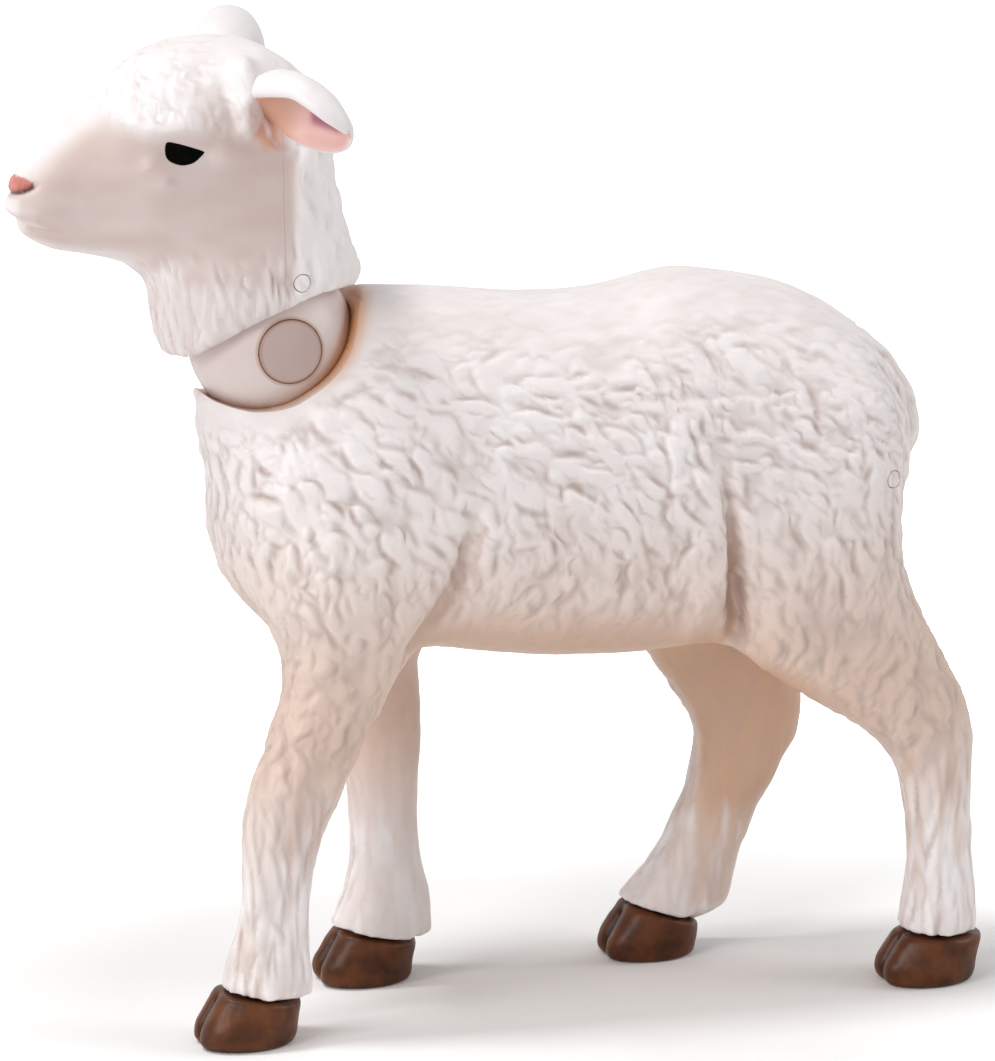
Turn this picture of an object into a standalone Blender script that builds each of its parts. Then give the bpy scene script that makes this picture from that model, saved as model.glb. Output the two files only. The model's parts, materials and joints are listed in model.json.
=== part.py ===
"""Toy lamb figure, standing, with a neck ball that nods on a pin and a head that turns on the ball.

Metres, +Z up. The nose points along -X and the left side faces -Y. The origin is on the ground, under the
middle of the figure's length. Each moulded form is lofted, blended by a voxel remesh, and then cut into the
pieces that the figure is assembled from.
"""

import math

import bmesh
import bpy
from mathutils import Vector

MM = 0.001

# Body
TORSO_LENGTH = 49.6 * MM
TORSO_DEPTH = 26.2 * MM
TORSO_WIDTH = 18.6 * MM
BELLY_CLEARANCE = 23.4 * MM
CHEST_REACH = 20.3 * MM
SHELL_WALL = 1.8 * MM
BOSS_RADIUS = 1.7 * MM
DOWEL_RADIUS = 0.8 * MM
DOWEL_LENGTH = 2.4 * MM

# Legs
FORE_LEG_DEPTH = 8.8 * MM
HIND_LEG_DEPTH = 13.4 * MM
LEG_SPREAD = 5.6 * MM
LEG_WIDTH = 5.2 * MM
HOOF_LENGTH = 7.2 * MM
HOOF_WIDTH = 5.6 * MM
HOOF_HEIGHT = 3.9 * MM
HOOF_PEG_RADIUS = 1.1 * MM
HOOF_PEG_LENGTH = 2.6 * MM

# Tail
TAIL_LENGTH = 9.4 * MM
TAIL_WIDTH = 5.2 * MM
TAIL_THICKNESS = 3.6 * MM

# Neck joint
SKIRT_WALL = 0.27 * MM
NECK_END_WALL = 1.18 * MM
SOCKET_CLEARANCE = 0.2 * MM
RIM_WALL = 0.5 * MM
NECK_LEAN = math.radians(20.0)
NOD_DOWN = math.radians(21.0)
NOD_UP = math.radians(3.0)
PIN_HEAD_RADIUS = 2.07 * MM
PIN_HEAD_LENGTH = 1.3 * MM
PIN_RADIUS = 1.15 * MM
LUG_EYE_WALL = 1.1 * MM
CROWN_WALL = 0.95 * MM
LUG_THICKNESS = 2.0 * MM
LUG_WIDTH = 3.6 * MM
LUG_LENGTH = 12.6 * MM
LUG_FOOT_WIDTH = 6.4 * MM
LUG_FOOT_HEIGHT = 2.2 * MM
PEG_RADIUS = 2.3 * MM
PEG_LENGTH = 7.4 * MM
GROOVE_RADIUS = 1.45 * MM

# Head
HEAD_LENGTH = 21.8 * MM
HEAD_DEPTH = 14.6 * MM
HEAD_WIDTH = 12.0 * MM
NOSE_REACH = 17.6 * MM
JAW_RISE = 5.6 * MM
EAR_LENGTH = 7.9 * MM
EAR_HEIGHT = 5.9 * MM
EAR_DEPTH = 3.9 * MM
EAR_WALL = 0.7 * MM
EAR_PLUG_RADIUS = 1.0 * MM
EAR_PLUG_LENGTH = 2.2 * MM
EAR_PLUG_WALL = 0.49 * MM
EYE_LENGTH = 2.4 * MM
EYE_HEIGHT = 1.45 * MM
EYE_DEPTH = 1.6 * MM

# Cross pins and fits
CROSS_PIN_RADIUS = 0.55 * MM
NAPE_PIN_WALL = 0.42 * MM
FIT_CLEARANCE = 0.15 * MM
SEAM_GAP = 0.2 * MM

# Mesh fineness
BODY_VOXEL = 1.65 * MM
HEAD_VOXEL = 1.25 * MM
SMOOTH_PASSES = 2
SMOOTH_SHARE = 0.5
RING_POINTS = 24
ROUND_POINTS = 32
SPHERE_STEPS = 12
RIM_STEPS = 2
EYE_STEPS = 3
POLE_ANGLE = math.radians(86.0)
SHARP_ANGLE = math.radians(35.0)

# Squareness of the sections: 2 is a plain oval
TORSO_SQUARENESS = 2.3
LIMB_SQUARENESS = 2.2

# Colours and roughness of the moulded plastics
FLEECE_WHITE = (0.86, 0.80, 0.78)
FACE_PINK = (0.82, 0.72, 0.69)
EAR_PINK = (0.84, 0.55, 0.50)
HOOF_BROWN = (0.13, 0.045, 0.02)
EYE_BLACK = (0.01, 0.01, 0.01)
BALL_WHITE = (0.85, 0.80, 0.80)
PIN_MAUVE = (0.70, 0.60, 0.58)
LUG_WHITE = (0.80, 0.77, 0.74)
MATT_ROUGHNESS = 0.6
SATIN_ROUGHNESS = 0.4
GLOSS_ROUGHNESS = 0.3
BODY_LOOKS = {"hoof": (HOOF_BROWN, SATIN_ROUGHNESS)}
HEAD_LOOKS = {
    "eye": (EYE_BLACK, GLOSS_ROUGHNESS),
    "ear": (EAR_PINK, MATT_ROUGHNESS),
    "head": (FACE_PINK, MATT_ROUGHNESS),
}

# Torso sections: place along the length, bottom and top of the depth, half-width, all as shares.
TORSO_SHARES = (
    (0.014, 0.35, 0.67, 0.30),
    (0.034, 0.24, 0.75, 0.55),
    (0.078, 0.14, 0.84, 0.74),
    (0.132, 0.09, 0.92, 0.86),
    (0.190, 0.07, 0.98, 0.91),
    (0.246, 0.06, 0.99, 0.94),
    (0.310, 0.05, 0.98, 0.96),
    (0.450, 0.01, 0.95, 1.00),
    (0.550, 0.00, 0.95, 1.00),
    (0.640, 0.00, 1.00, 0.99),
    (0.700, 0.02, 0.99, 0.97),
    (0.760, 0.07, 0.97, 0.95),
    (0.820, 0.14, 0.94, 0.91),
    (0.870, 0.19, 0.89, 0.84),
    (0.920, 0.25, 0.82, 0.72),
    (0.960, 0.33, 0.70, 0.52),
    (0.985, 0.42, 0.60, 0.28),
)
CAVITY_START_SHARE = 0.12
CAVITY_END_SHARE = 0.90
BACK_TAPER_SHARE = 0.12
BOSS_PLACE_SHARES = ((0.40, 0.78), (0.42, 0.24), (0.78, 0.76), (0.76, 0.36))
RUMP_PIN_PLACE_SHARE = (0.919, 0.464)

# Leg sections from the top down: height, front and rear edge, sideways place, width, as shares of the
# belly's clearance, the leg's depth, the spread and the leg's width.
FORE_LEFT_SHARES = (
    (1.62, -0.34, 0.68, 0.71, 1.77),
    (1.41, -0.57, 0.74, 0.82, 1.77),
    (1.24, -0.57, 0.66, 0.93, 1.54),
    (1.10, -0.49, 0.51, 0.96, 1.38),
    (0.97, -0.52, 0.30, 1.00, 1.23),
    (0.81, -0.69, 0.09, 1.00, 1.12),
    (0.68, -0.83, -0.07, 1.00, 1.06),
    (0.51, -0.85, -0.26, 1.00, 0.92),
    (0.30, -0.89, -0.30, 1.00, 0.92),
    (0.19, -1.02, -0.28, 1.00, 1.08),
    (0.09, -1.05, -0.30, 1.00, 1.04),
)
FORE_RIGHT_SHARES = (
    (1.62, -0.23, 0.74, 0.71, 1.77),
    (1.41, -0.34, 0.80, 0.82, 1.77),
    (1.24, -0.28, 0.82, 0.93, 1.54),
    (1.07, -0.11, 0.86, 0.96, 1.35),
    (0.90, 0.09, 0.93, 1.00, 1.19),
    (0.77, 0.23, 0.98, 1.00, 1.12),
    (0.64, 0.31, 0.95, 1.00, 1.06),
    (0.53, 0.35, 0.92, 1.00, 0.96),
    (0.34, 0.35, 0.99, 1.00, 0.92),
    (0.19, 0.20, 1.03, 1.00, 1.08),
    (0.09, 0.19, 1.02, 1.00, 1.04),
)
HIND_LEFT_SHARES = (
    (1.79, -0.37, 0.45, 0.61, 1.77),
    (1.62, -0.49, 0.54, 0.70, 1.88),
    (1.45, -0.52, 0.51, 0.77, 1.88),
    (1.28, -0.49, 0.51, 0.86, 1.77),
    (1.11, -0.43, 0.62, 0.93, 1.58),
    (0.98, -0.28, 0.75, 0.98, 1.38),
    (0.90, -0.09, 0.82, 1.00, 1.27),
    (0.81, 0.19, 0.89, 1.00, 1.15),
    (0.73, 0.39, 0.92, 1.00, 1.06),
    (0.62, 0.49, 0.90, 1.00, 0.96),
    (0.47, 0.54, 0.90, 1.00, 0.90),
    (0.34, 0.56, 0.92, 1.00, 0.92),
    (0.22, 0.51, 0.97, 1.00, 1.04),
    (0.09, 0.48, 0.97, 1.00, 1.04),
)
HIND_RIGHT_SHARES = (
    (1.79, -0.45, 0.41, 0.61, 1.77),
    (1.62, -0.60, 0.45, 0.70, 1.88),
    (1.45, -0.71, 0.41, 0.77, 1.88),
    (1.28, -0.76, 0.34, 0.86, 1.77),
    (1.11, -0.72, 0.26, 0.93, 1.58),
    (0.98, -0.64, 0.25, 0.98, 1.38),
    (0.90, -0.56, 0.26, 1.00, 1.27),
    (0.81, -0.46, 0.29, 1.00, 1.15),
    (0.74, -0.34, 0.31, 1.00, 1.08),
    (0.68, -0.29, 0.30, 1.00, 1.04),
    (0.53, -0.35, 0.17, 1.00, 0.94),
    (0.41, -0.44, 0.04, 1.00, 0.90),
    (0.29, -0.55, -0.04, 1.00, 0.94),
    (0.19, -0.73, -0.08, 1.00, 1.06),
    (0.09, -0.81, -0.15, 1.00, 1.04),
)
SHOULDER_SHARE = 0.167
HIP_SHARE = 0.812
# Leg name: side, sections, anchor along the torso, depth, hoof centre from the anchor, tilt of the cuff.
LEGS = {
    "fore_left": (-1, FORE_LEFT_SHARES, SHOULDER_SHARE, FORE_LEG_DEPTH, -0.82, math.radians(10.0)),
    "fore_right": (1, FORE_RIGHT_SHARES, SHOULDER_SHARE, FORE_LEG_DEPTH, 0.45, math.radians(11.0)),
    "hind_left": (-1, HIND_LEFT_SHARES, HIP_SHARE, HIND_LEG_DEPTH, 0.66, math.radians(2.0)),
    "hind_right": (1, HIND_RIGHT_SHARES, HIP_SHARE, HIND_LEG_DEPTH, -0.56, math.radians(18.0)),
}
# Hoof sections: height, toe, heel, width, as shares of the hoof's height, length and width.
HOOF_SHARES = (
    (0.00, -0.44, 0.46, 0.88),
    (0.09, -0.50, 0.49, 0.96),
    (0.33, -0.50, 0.50, 1.00),
    (0.67, -0.39, 0.54, 0.97),
    (1.00, -0.26, 0.58, 0.90),
    (1.45, -0.20, 0.60, 0.85),
)
CUFF_SHARE = 0.90
CUFF_REACH_SHARE = 0.90
CLEFT_DEPTH_SHARE = 0.17
CLEFT_SPREAD_SHARE = 0.06
# Tail sections from the tip up: height, front, rear, width, as shares of its length, thickness and width.
TAIL_SHARES = (
    (0.00, -0.36, -0.06, 0.31),
    (0.13, -0.61, 0.11, 0.73),
    (0.28, -0.86, 0.14, 0.96),
    (0.49, -1.14, 0.00, 1.00),
    (0.68, -1.31, -0.25, 0.85),
    (0.86, -1.47, -0.64, 0.58),
    (1.00, -1.53, -1.08, 0.35),
)
TAIL_TIP_SHARE = 0.456

# Rims at the neck, seen from the side, as shares of the ball's radius from its centre.
SADDLE_RIM_SHARES = (
    (-1.10, -0.44),
    (-0.90, -0.475),
    (-0.77, -0.60),
    (-0.51, -0.685),
    (-0.27, -0.69),
    (0.00, -0.62),
    (0.27, -0.46),
    (0.50, -0.29),
    (0.71, -0.04),
    (0.84, 0.22),
    (0.92, 0.42),
    (1.04, 0.56),
    (1.35, 0.72),
)
SKIRT_RIM_SHARES = (
    (-1.50, -0.15),
    (-1.13, -0.12),
    (-0.93, 0.03),
    (-0.44, 0.34),
    (0.00, 0.52),
    (0.27, 0.62),
    (0.55, 0.66),
    (0.82, 0.67),
    (1.20, 0.68),
    (1.50, 0.68),
)
RIM_REACH_SHARE = 2.4
NECK_WIDTH_SHARE = 0.99
SLOT_REACH_SHARE = 1.3
# Neck sections up the leaning axis: height, offset to the rear, half-length, half-width.
NECK_SHARES = (
    (-0.55, 0.00, 1.00, 0.93),
    (0.27, 0.00, 1.00, 0.94),
    (0.50, 0.00, 1.04, 0.98),
    (0.82, 0.01, 1.02, 1.02),
    (1.10, 0.06, 0.99, 1.02),
    (1.46, 0.14, 0.95, 1.00),
    (1.83, 0.25, 0.90, 0.97),
    (2.20, 0.27, 0.77, 0.83),
)
# Head sections from the nose back: place, bottom, top, half-width.
HEAD_SHARES = (
    (0.005, 0.23, 0.38, 0.15),
    (0.032, 0.15, 0.43, 0.32),
    (0.087, 0.08, 0.51, 0.42),
    (0.179, 0.04, 0.63, 0.50),
    (0.252, 0.03, 0.71, 0.58),
    (0.326, 0.00, 0.83, 0.72),
    (0.413, -0.04, 0.94, 0.85),
    (0.509, -0.01, 0.99, 0.93),
    (0.647, 0.02, 1.00, 1.00),
    (0.761, 0.08, 0.96, 1.00),
    (0.853, 0.17, 0.89, 0.92),
    (0.931, 0.26, 0.78, 0.73),
    (0.986, 0.36, 0.65, 0.40),
)
NAPE_DOWEL_SHARES = (0.50, 0.42)
EYE_PLACE_SHARES = (0.479, 0.51)
EYE_CHEEK_SHARE = 0.85
EYE_OUTLINE_SHARES = (
    (-0.50, 0.10),
    (-0.33, 0.50),
    (0.08, 0.36),
    (0.50, 0.10),
    (0.36, -0.25),
    (-0.05, -0.50),
    (-0.37, -0.30),
)
EAR_PLACE_SHARES = (0.72, 0.72)
# Ear sections from the root out: place, height, depth.
EAR_SHARES = (
    (-0.20, 0.55, 0.60),
    (0.00, 0.72, 0.80),
    (0.20, 0.92, 0.98),
    (0.34, 0.98, 1.00),
    (0.50, 0.99, 0.98),
    (0.66, 0.95, 0.93),
    (0.82, 0.80, 0.80),
    (0.93, 0.54, 0.56),
    (1.00, 0.26, 0.28),
)
EAR_PLUG_REACH_SHARE = 0.34
EAR_SCOOP_START_SHARE = 0.30
EAR_DROOP = math.radians(20.0)
# Ear name: side, sweep to the rear, lift.
EARS = {
    "left": (-1, math.radians(33.0), math.radians(-3.0)),
    "right": (1, math.radians(23.0), math.radians(25.0)),
}

BALL_SET_BACK_SHARE = 0.88
BALL_HEIGHT_SHARE = 0.862

# Sizes and places worked out from the sizes above
NECK_HALF_WIDTH = HEAD_WIDTH / 2 * NECK_WIDTH_SHARE
SOCKET_RADIUS = NECK_HALF_WIDTH - SKIRT_WALL
NECK_HALF_LENGTH = SOCKET_RADIUS + NECK_END_WALL
BALL_RADIUS = SOCKET_RADIUS - SOCKET_CLEARANCE
BALL_X = -CHEST_REACH + BALL_RADIUS * BALL_SET_BACK_SHARE
BALL = Vector((BALL_X, 0.0, BELLY_CLEARANCE + TORSO_DEPTH * BALL_HEIGHT_SHARE))
NECK_AXIS = Vector((-math.sin(NECK_LEAN), 0.0, math.cos(NECK_LEAN)))
NECK_BACK = Vector((math.cos(NECK_LEAN), 0.0, math.sin(NECK_LEAN)))
LUG_EYE_RADIUS = PIN_RADIUS + LUG_EYE_WALL
GROOVE_HEIGHT = LUG_EYE_RADIUS + FIT_CLEARANCE + CROWN_WALL
GROOVE_WIDTH = 2 * (CROSS_PIN_RADIUS + FIT_CLEARANCE)
NAPE_PIN_RISE = NECK_AXIS * (GROOVE_HEIGHT + GROOVE_WIDTH / 2)
NAPE_PIN_PLACE = BALL + NAPE_PIN_RISE + NECK_BACK * (GROOVE_RADIUS + FIT_CLEARANCE + CROSS_PIN_RADIUS)
NAPE_SEAM_X = NAPE_PIN_PLACE.x - CROSS_PIN_RADIUS - FIT_CLEARANCE - NAPE_PIN_WALL
EAR_ROOT_X = NAPE_SEAM_X - EAR_PLUG_WALL - FIT_CLEARANCE - EAR_PLUG_RADIUS
OVERRUN = 2 * TORSO_LENGTH
GUIDES = []


def new_object(name, mesh):
    """Link a mesh to the scene as an object, and remember it as a guide until it is finished."""
    thing = bpy.data.objects.new(name, mesh)
    bpy.context.scene.collection.objects.link(thing)
    GUIDES.append(thing)
    return thing


def loft(name, rings):
    """Close a skin over rings of equal point counts."""
    shape = bmesh.new()
    loops = [[shape.verts.new(point) for point in ring] for ring in rings]
    count = len(loops[0])
    for lower, upper in zip(loops, loops[1:]):
        for index in range(count):
            after = (index + 1) % count
            shape.faces.new((lower[index], lower[after], upper[after], upper[index]))
    shape.faces.new(loops[0])
    shape.faces.new(loops[-1])
    bmesh.ops.recalc_face_normals(shape, faces=shape.faces)
    mesh = bpy.data.meshes.new(name)
    shape.to_mesh(mesh)
    shape.free()
    return new_object(name, mesh)


def oval(centre, first, second, power=2.0, count=RING_POINTS):
    """Points round a superellipse that two half-axes span."""
    points = []
    for index in range(count):
        angle = math.tau * index / count
        across = math.copysign(abs(math.cos(angle)) ** (2.0 / power), math.cos(angle))
        along = math.copysign(abs(math.sin(angle)) ** (2.0 / power), math.sin(angle))
        points.append(centre + first * across + second * along)
    return points


def rod(name, start, end, radius, count=ROUND_POINTS):
    """A round rod between two points."""
    axis = (end - start).normalized()
    side = axis.orthogonal().normalized() * radius
    other = axis.cross(side)
    return loft(name, [oval(start, side, other, count=count), oval(end, side, other, count=count)])


def turned(name, profile, centre, axis, count=ROUND_POINTS):
    """A solid turned about an axis, from radius and height pairs."""
    side = axis.orthogonal().normalized()
    other = axis.cross(side)
    rings = []
    for radius, height in profile:
        rings.append(oval(centre + axis * height, side * radius, other * radius, count=count))
    return loft(name, rings)


def sphere_profile(radius, low, high, steps):
    """Radius and height pairs on a sphere between two latitudes."""
    angles = [low + (high - low) * step / steps for step in range(steps + 1)]
    return [(radius * math.cos(angle), radius * math.sin(angle)) for angle in angles]


def globe(name, radius):
    """A ball round the neck joint's centre."""
    return turned(name, sphere_profile(radius, -POLE_ANGLE, POLE_ANGLE, SPHERE_STEPS), BALL, NECK_AXIS)


def prism(name, outline, low, high):
    """An outline in the XZ plane, extruded along Y."""
    rings = [[Vector((x, y, z)) for x, z in outline] for y in (low, high)]
    return loft(name, rings)


def box(name, low, high):
    """A box between two corners."""
    outline = [(low.x, low.z), (high.x, low.z), (high.x, high.z), (low.x, high.z)]
    return prism(name, outline, low.y, high.y)


def curve_through(points, steps, closed=False):
    """Catmull-Rom points through a list of pairs."""
    count = len(points)
    spans = count if closed else count - 1
    result = []
    for span in range(spans):
        if closed:
            around = [points[(span + offset) % count] for offset in (-1, 0, 1, 2)]
        else:
            around = [points[min(max(span + offset, 0), count - 1)] for offset in (-1, 0, 1, 2)]
        for step in range(steps):
            t = step / steps
            weights = (
                -0.5 * t + t * t - 0.5 * t ** 3,
                1.0 - 2.5 * t * t + 1.5 * t ** 3,
                0.5 * t + 2.0 * t * t - 1.5 * t ** 3,
                -0.5 * t * t + 0.5 * t ** 3,
            )
            result.append(tuple(sum(w * p[axis] for w, p in zip(weights, around)) for axis in (0, 1)))
    if not closed:
        result.append(tuple(points[-1]))
    return result


def bake(thing):
    """Swap an object's mesh for the one that its modifiers give."""
    graph = bpy.context.evaluated_depsgraph_get()
    mesh = bpy.data.meshes.new_from_object(thing.evaluated_get(graph))
    thing.modifiers.clear()
    thing.data = mesh
    return thing


def combine(thing, operation, others):
    """Apply one Boolean operation with each of the other objects."""
    for other in others:
        modifier = thing.modifiers.new(other.name, "BOOLEAN")
        modifier.operation = operation
        modifier.solver = "EXACT"
        modifier.object = other
        bake(thing)
    return thing


def cut(thing, *cutters):
    return combine(thing, "DIFFERENCE", cutters)


def join(thing, *additions):
    return combine(thing, "UNION", additions)


def keep(thing, *regions):
    return combine(thing, "INTERSECT", regions)


def duplicate(thing, name):
    return new_object(name, thing.data.copy())


def blend(name, shells, voxel):
    """Weld overlapping closed shells into one smooth form."""
    shape = bmesh.new()
    for shell in shells:
        shape.from_mesh(shell.data)
    mesh = bpy.data.meshes.new(name)
    shape.to_mesh(mesh)
    shape.free()
    form = new_object(name, mesh)
    remesh = form.modifiers.new("weld", "REMESH")
    remesh.mode = "VOXEL"
    remesh.voxel_size = voxel
    smooth = form.modifiers.new("soften", "SMOOTH")
    smooth.factor = SMOOTH_SHARE
    smooth.iterations = SMOOTH_PASSES
    return bake(form)


def grown(thing, name, distance):
    """A copy whose surface is pushed out along its normals."""
    copy = duplicate(thing, name)
    for vertex in copy.data.vertices:
        vertex.co = vertex.co + vertex.normal * distance
    return copy


def torso_place(along_share, height_share):
    """X and Z of a point given as shares of the torso's length and depth."""
    return -CHEST_REACH + TORSO_LENGTH * along_share, BELLY_CLEARANCE + TORSO_DEPTH * height_share


def torso_rings(sections, inset):
    """Egg-shaped sections of the torso, drawn in by an inset."""
    rings = []
    for along, bottom, top, width in sections:
        x, low = torso_place(along, bottom)
        high = torso_place(along, top)[1]
        half_height = (high - low) / 2 - inset
        half_width = TORSO_WIDTH / 2 * width - inset
        centre = Vector((x, 0.0, (high + low) / 2))
        across = Vector((0.0, half_width, 0.0))
        ring = oval(centre, across, Vector((0.0, 0.0, half_height)), TORSO_SQUARENESS)
        for point in ring:
            point.y *= 1.0 - BACK_TAPER_SHARE * (point.z - centre.z) / half_height
        rings.append(ring)
    return rings


def leg_rings(side, sections, anchor, depth):
    """Level sections of one leg, from the top down."""
    anchor_x = torso_place(anchor, 0.0)[0]
    rings = []
    for height, front, rear, spread, width in sections:
        middle = anchor_x + depth * (front + rear) / 2
        centre = Vector((middle, side * LEG_SPREAD * spread, BELLY_CLEARANCE * height))
        half_length = Vector((depth * (rear - front) / 2, 0.0, 0.0))
        half_width = Vector((0.0, LEG_WIDTH * width / 2, 0.0))
        rings.append(oval(centre, half_length, half_width, LIMB_SQUARENESS))
    return rings


def body_form():
    """The whole body and legs as one blended form."""
    shells = [loft("torso", torso_rings(TORSO_SHARES, 0.0)), globe("collar", SOCKET_RADIUS + RIM_WALL)]
    for name, (side, sections, anchor, depth, _, _) in LEGS.items():
        shells.append(loft(name, leg_rings(side, sections, anchor, depth)))
    return blend("body_form", shells, BODY_VOXEL)


def rim_region(name, rim_shares, upward):
    """The region above or below a rim that is drawn in the side view."""
    reach = RIM_REACH_SHARE * BALL_RADIUS
    shares = curve_through(rim_shares, RIM_STEPS)
    rim = [(BALL.x + x * BALL_RADIUS, BALL.z + z * BALL_RADIUS) for x, z in shares]
    far = BALL.z + (reach if upward else -reach)
    outline = [(rim[0][0] - reach, rim[0][1])] + rim
    if upward:
        outline += [(rim[-1][0], far), (rim[0][0] - reach, far)]
    else:
        outline += [(rim[-1][0] + reach, rim[-1][1]), (rim[-1][0] + reach, far), (rim[0][0] - reach, far)]
    return prism(name, outline, -reach, reach)


def lug_outline(grow):
    """Outline of the neck lug: a round eye on a shank with a T-shaped foot."""
    radius = LUG_EYE_RADIUS + grow
    half = LUG_WIDTH / 2 + grow
    foot = LUG_FOOT_WIDTH / 2 + grow
    bottom = BALL.z - LUG_LENGTH - grow
    shoulder = BALL.z - LUG_LENGTH + LUG_FOOT_HEIGHT + grow
    start = math.asin(half / radius)
    outline = []
    for step in range(ROUND_POINTS // 2 + 1):
        angle = start + (math.tau - 2 * start) * step / (ROUND_POINTS // 2)
        outline.append((BALL.x - radius * math.sin(angle), BALL.z - radius * math.cos(angle)))
    outline += [(BALL.x + half, shoulder), (BALL.x + foot, shoulder), (BALL.x + foot, bottom)]
    outline += [(BALL.x - foot, bottom), (BALL.x - foot, shoulder), (BALL.x - half, shoulder)]
    return outline


def cuff_region(name, leg, above):
    """The region above or below a leg's cuff, half a seam's gap short of it."""
    side, _, anchor, depth, hoof_share, tilt = LEGS[leg]
    x = torso_place(anchor, 0.0)[0] + depth * hoof_share
    z = HOOF_HEIGHT * CUFF_SHARE + (-SEAM_GAP / 2 if above else SEAM_GAP / 2)
    rise = HOOF_LENGTH * math.tan(tilt)
    far = OVERRUN if above else -OVERRUN
    front = x - HOOF_LENGTH
    rear = x + HOOF_LENGTH
    y = side * LEG_SPREAD
    reach = HOOF_WIDTH * CUFF_REACH_SHARE
    outline = [(front, z + rise), (rear, z - rise), (rear, far), (front, far)]
    return prism(name, outline, y - reach, y + reach)


def hoof_rings(x, y):
    """Level sections of a cloven hoof, notched in front."""
    rings = []
    count = ROUND_POINTS
    for height, toe, heel, width in HOOF_SHARES:
        centre = Vector((x + HOOF_LENGTH * (toe + heel) / 2, y, HOOF_HEIGHT * height))
        ring = []
        for index in range(count):
            angle = math.tau * index / count
            from_toe = abs(angle - math.pi) / math.tau
            notch = 1.0 - CLEFT_DEPTH_SHARE * math.exp(-((from_toe / CLEFT_SPREAD_SHARE) ** 2))
            across = math.cos(angle) * HOOF_LENGTH * (heel - toe) / 2 * notch
            along = math.sin(angle) * HOOF_WIDTH * width / 2
            ring.append(centre + Vector((across, along, 0.0)))
        rings.append(ring)
    return rings


def make_hoof(leg):
    """One hoof cap with its peg, and the cutters that clear its place in the leg."""
    side, sections, anchor, depth, hoof_share, _ = LEGS[leg]
    x = torso_place(anchor, 0.0)[0] + depth * hoof_share
    y = side * LEG_SPREAD
    ankle = sections[-2]
    peg_x = torso_place(anchor, 0.0)[0] + depth * (ankle[1] + ankle[2]) / 2
    cuff = HOOF_HEIGHT * CUFF_SHARE
    foot = Vector((peg_x, y, cuff / 2))
    hoof = loft("hoof_" + leg, hoof_rings(x, y))
    cut(hoof, cuff_region("above_cuff", leg, True))
    up = Vector((0.0, 0.0, cuff / 2 + HOOF_PEG_LENGTH))
    join(hoof, rod("hoof_peg", foot, foot + up, HOOF_PEG_RADIUS, ROUND_POINTS // 2))
    up.z += FIT_CLEARANCE
    hole = rod("hoof_hole", foot, foot + up, HOOF_PEG_RADIUS + FIT_CLEARANCE, ROUND_POINTS // 2)
    return hoof, (cuff_region("below_cuff", leg, False), hole)


def make_tail(name, grow):
    """The hanging tuft, pushed out by a clearance when it clears its own place."""
    rump_x, tip_z = torso_place(1.0, TAIL_TIP_SHARE)
    rings = []
    for height, front, rear, width in TAIL_SHARES:
        middle = rump_x + TAIL_THICKNESS * (front + rear) / 2
        centre = Vector((middle, 0.0, tip_z + TAIL_LENGTH * height))
        half_thickness = Vector((TAIL_THICKNESS * (rear - front) / 2 + grow, 0.0, 0.0))
        half_width = Vector((0.0, TAIL_WIDTH / 2 * width + grow, 0.0))
        rings.append(oval(centre, half_thickness, half_width))
    rings[0] = [point - Vector((0.0, 0.0, grow)) for point in rings[0]]
    rings[-1] = [point + Vector((0.0, 0.0, grow)) for point in rings[-1]]
    return loft(name, rings)


def cross_pin(name, place, half_length, grow):
    """A pin across the figure, its middle on the middle plane."""
    reach = Vector((0.0, half_length, 0.0))
    return rod(name, place - reach, place + reach, CROSS_PIN_RADIUS + grow, ROUND_POINTS // 2)


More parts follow.
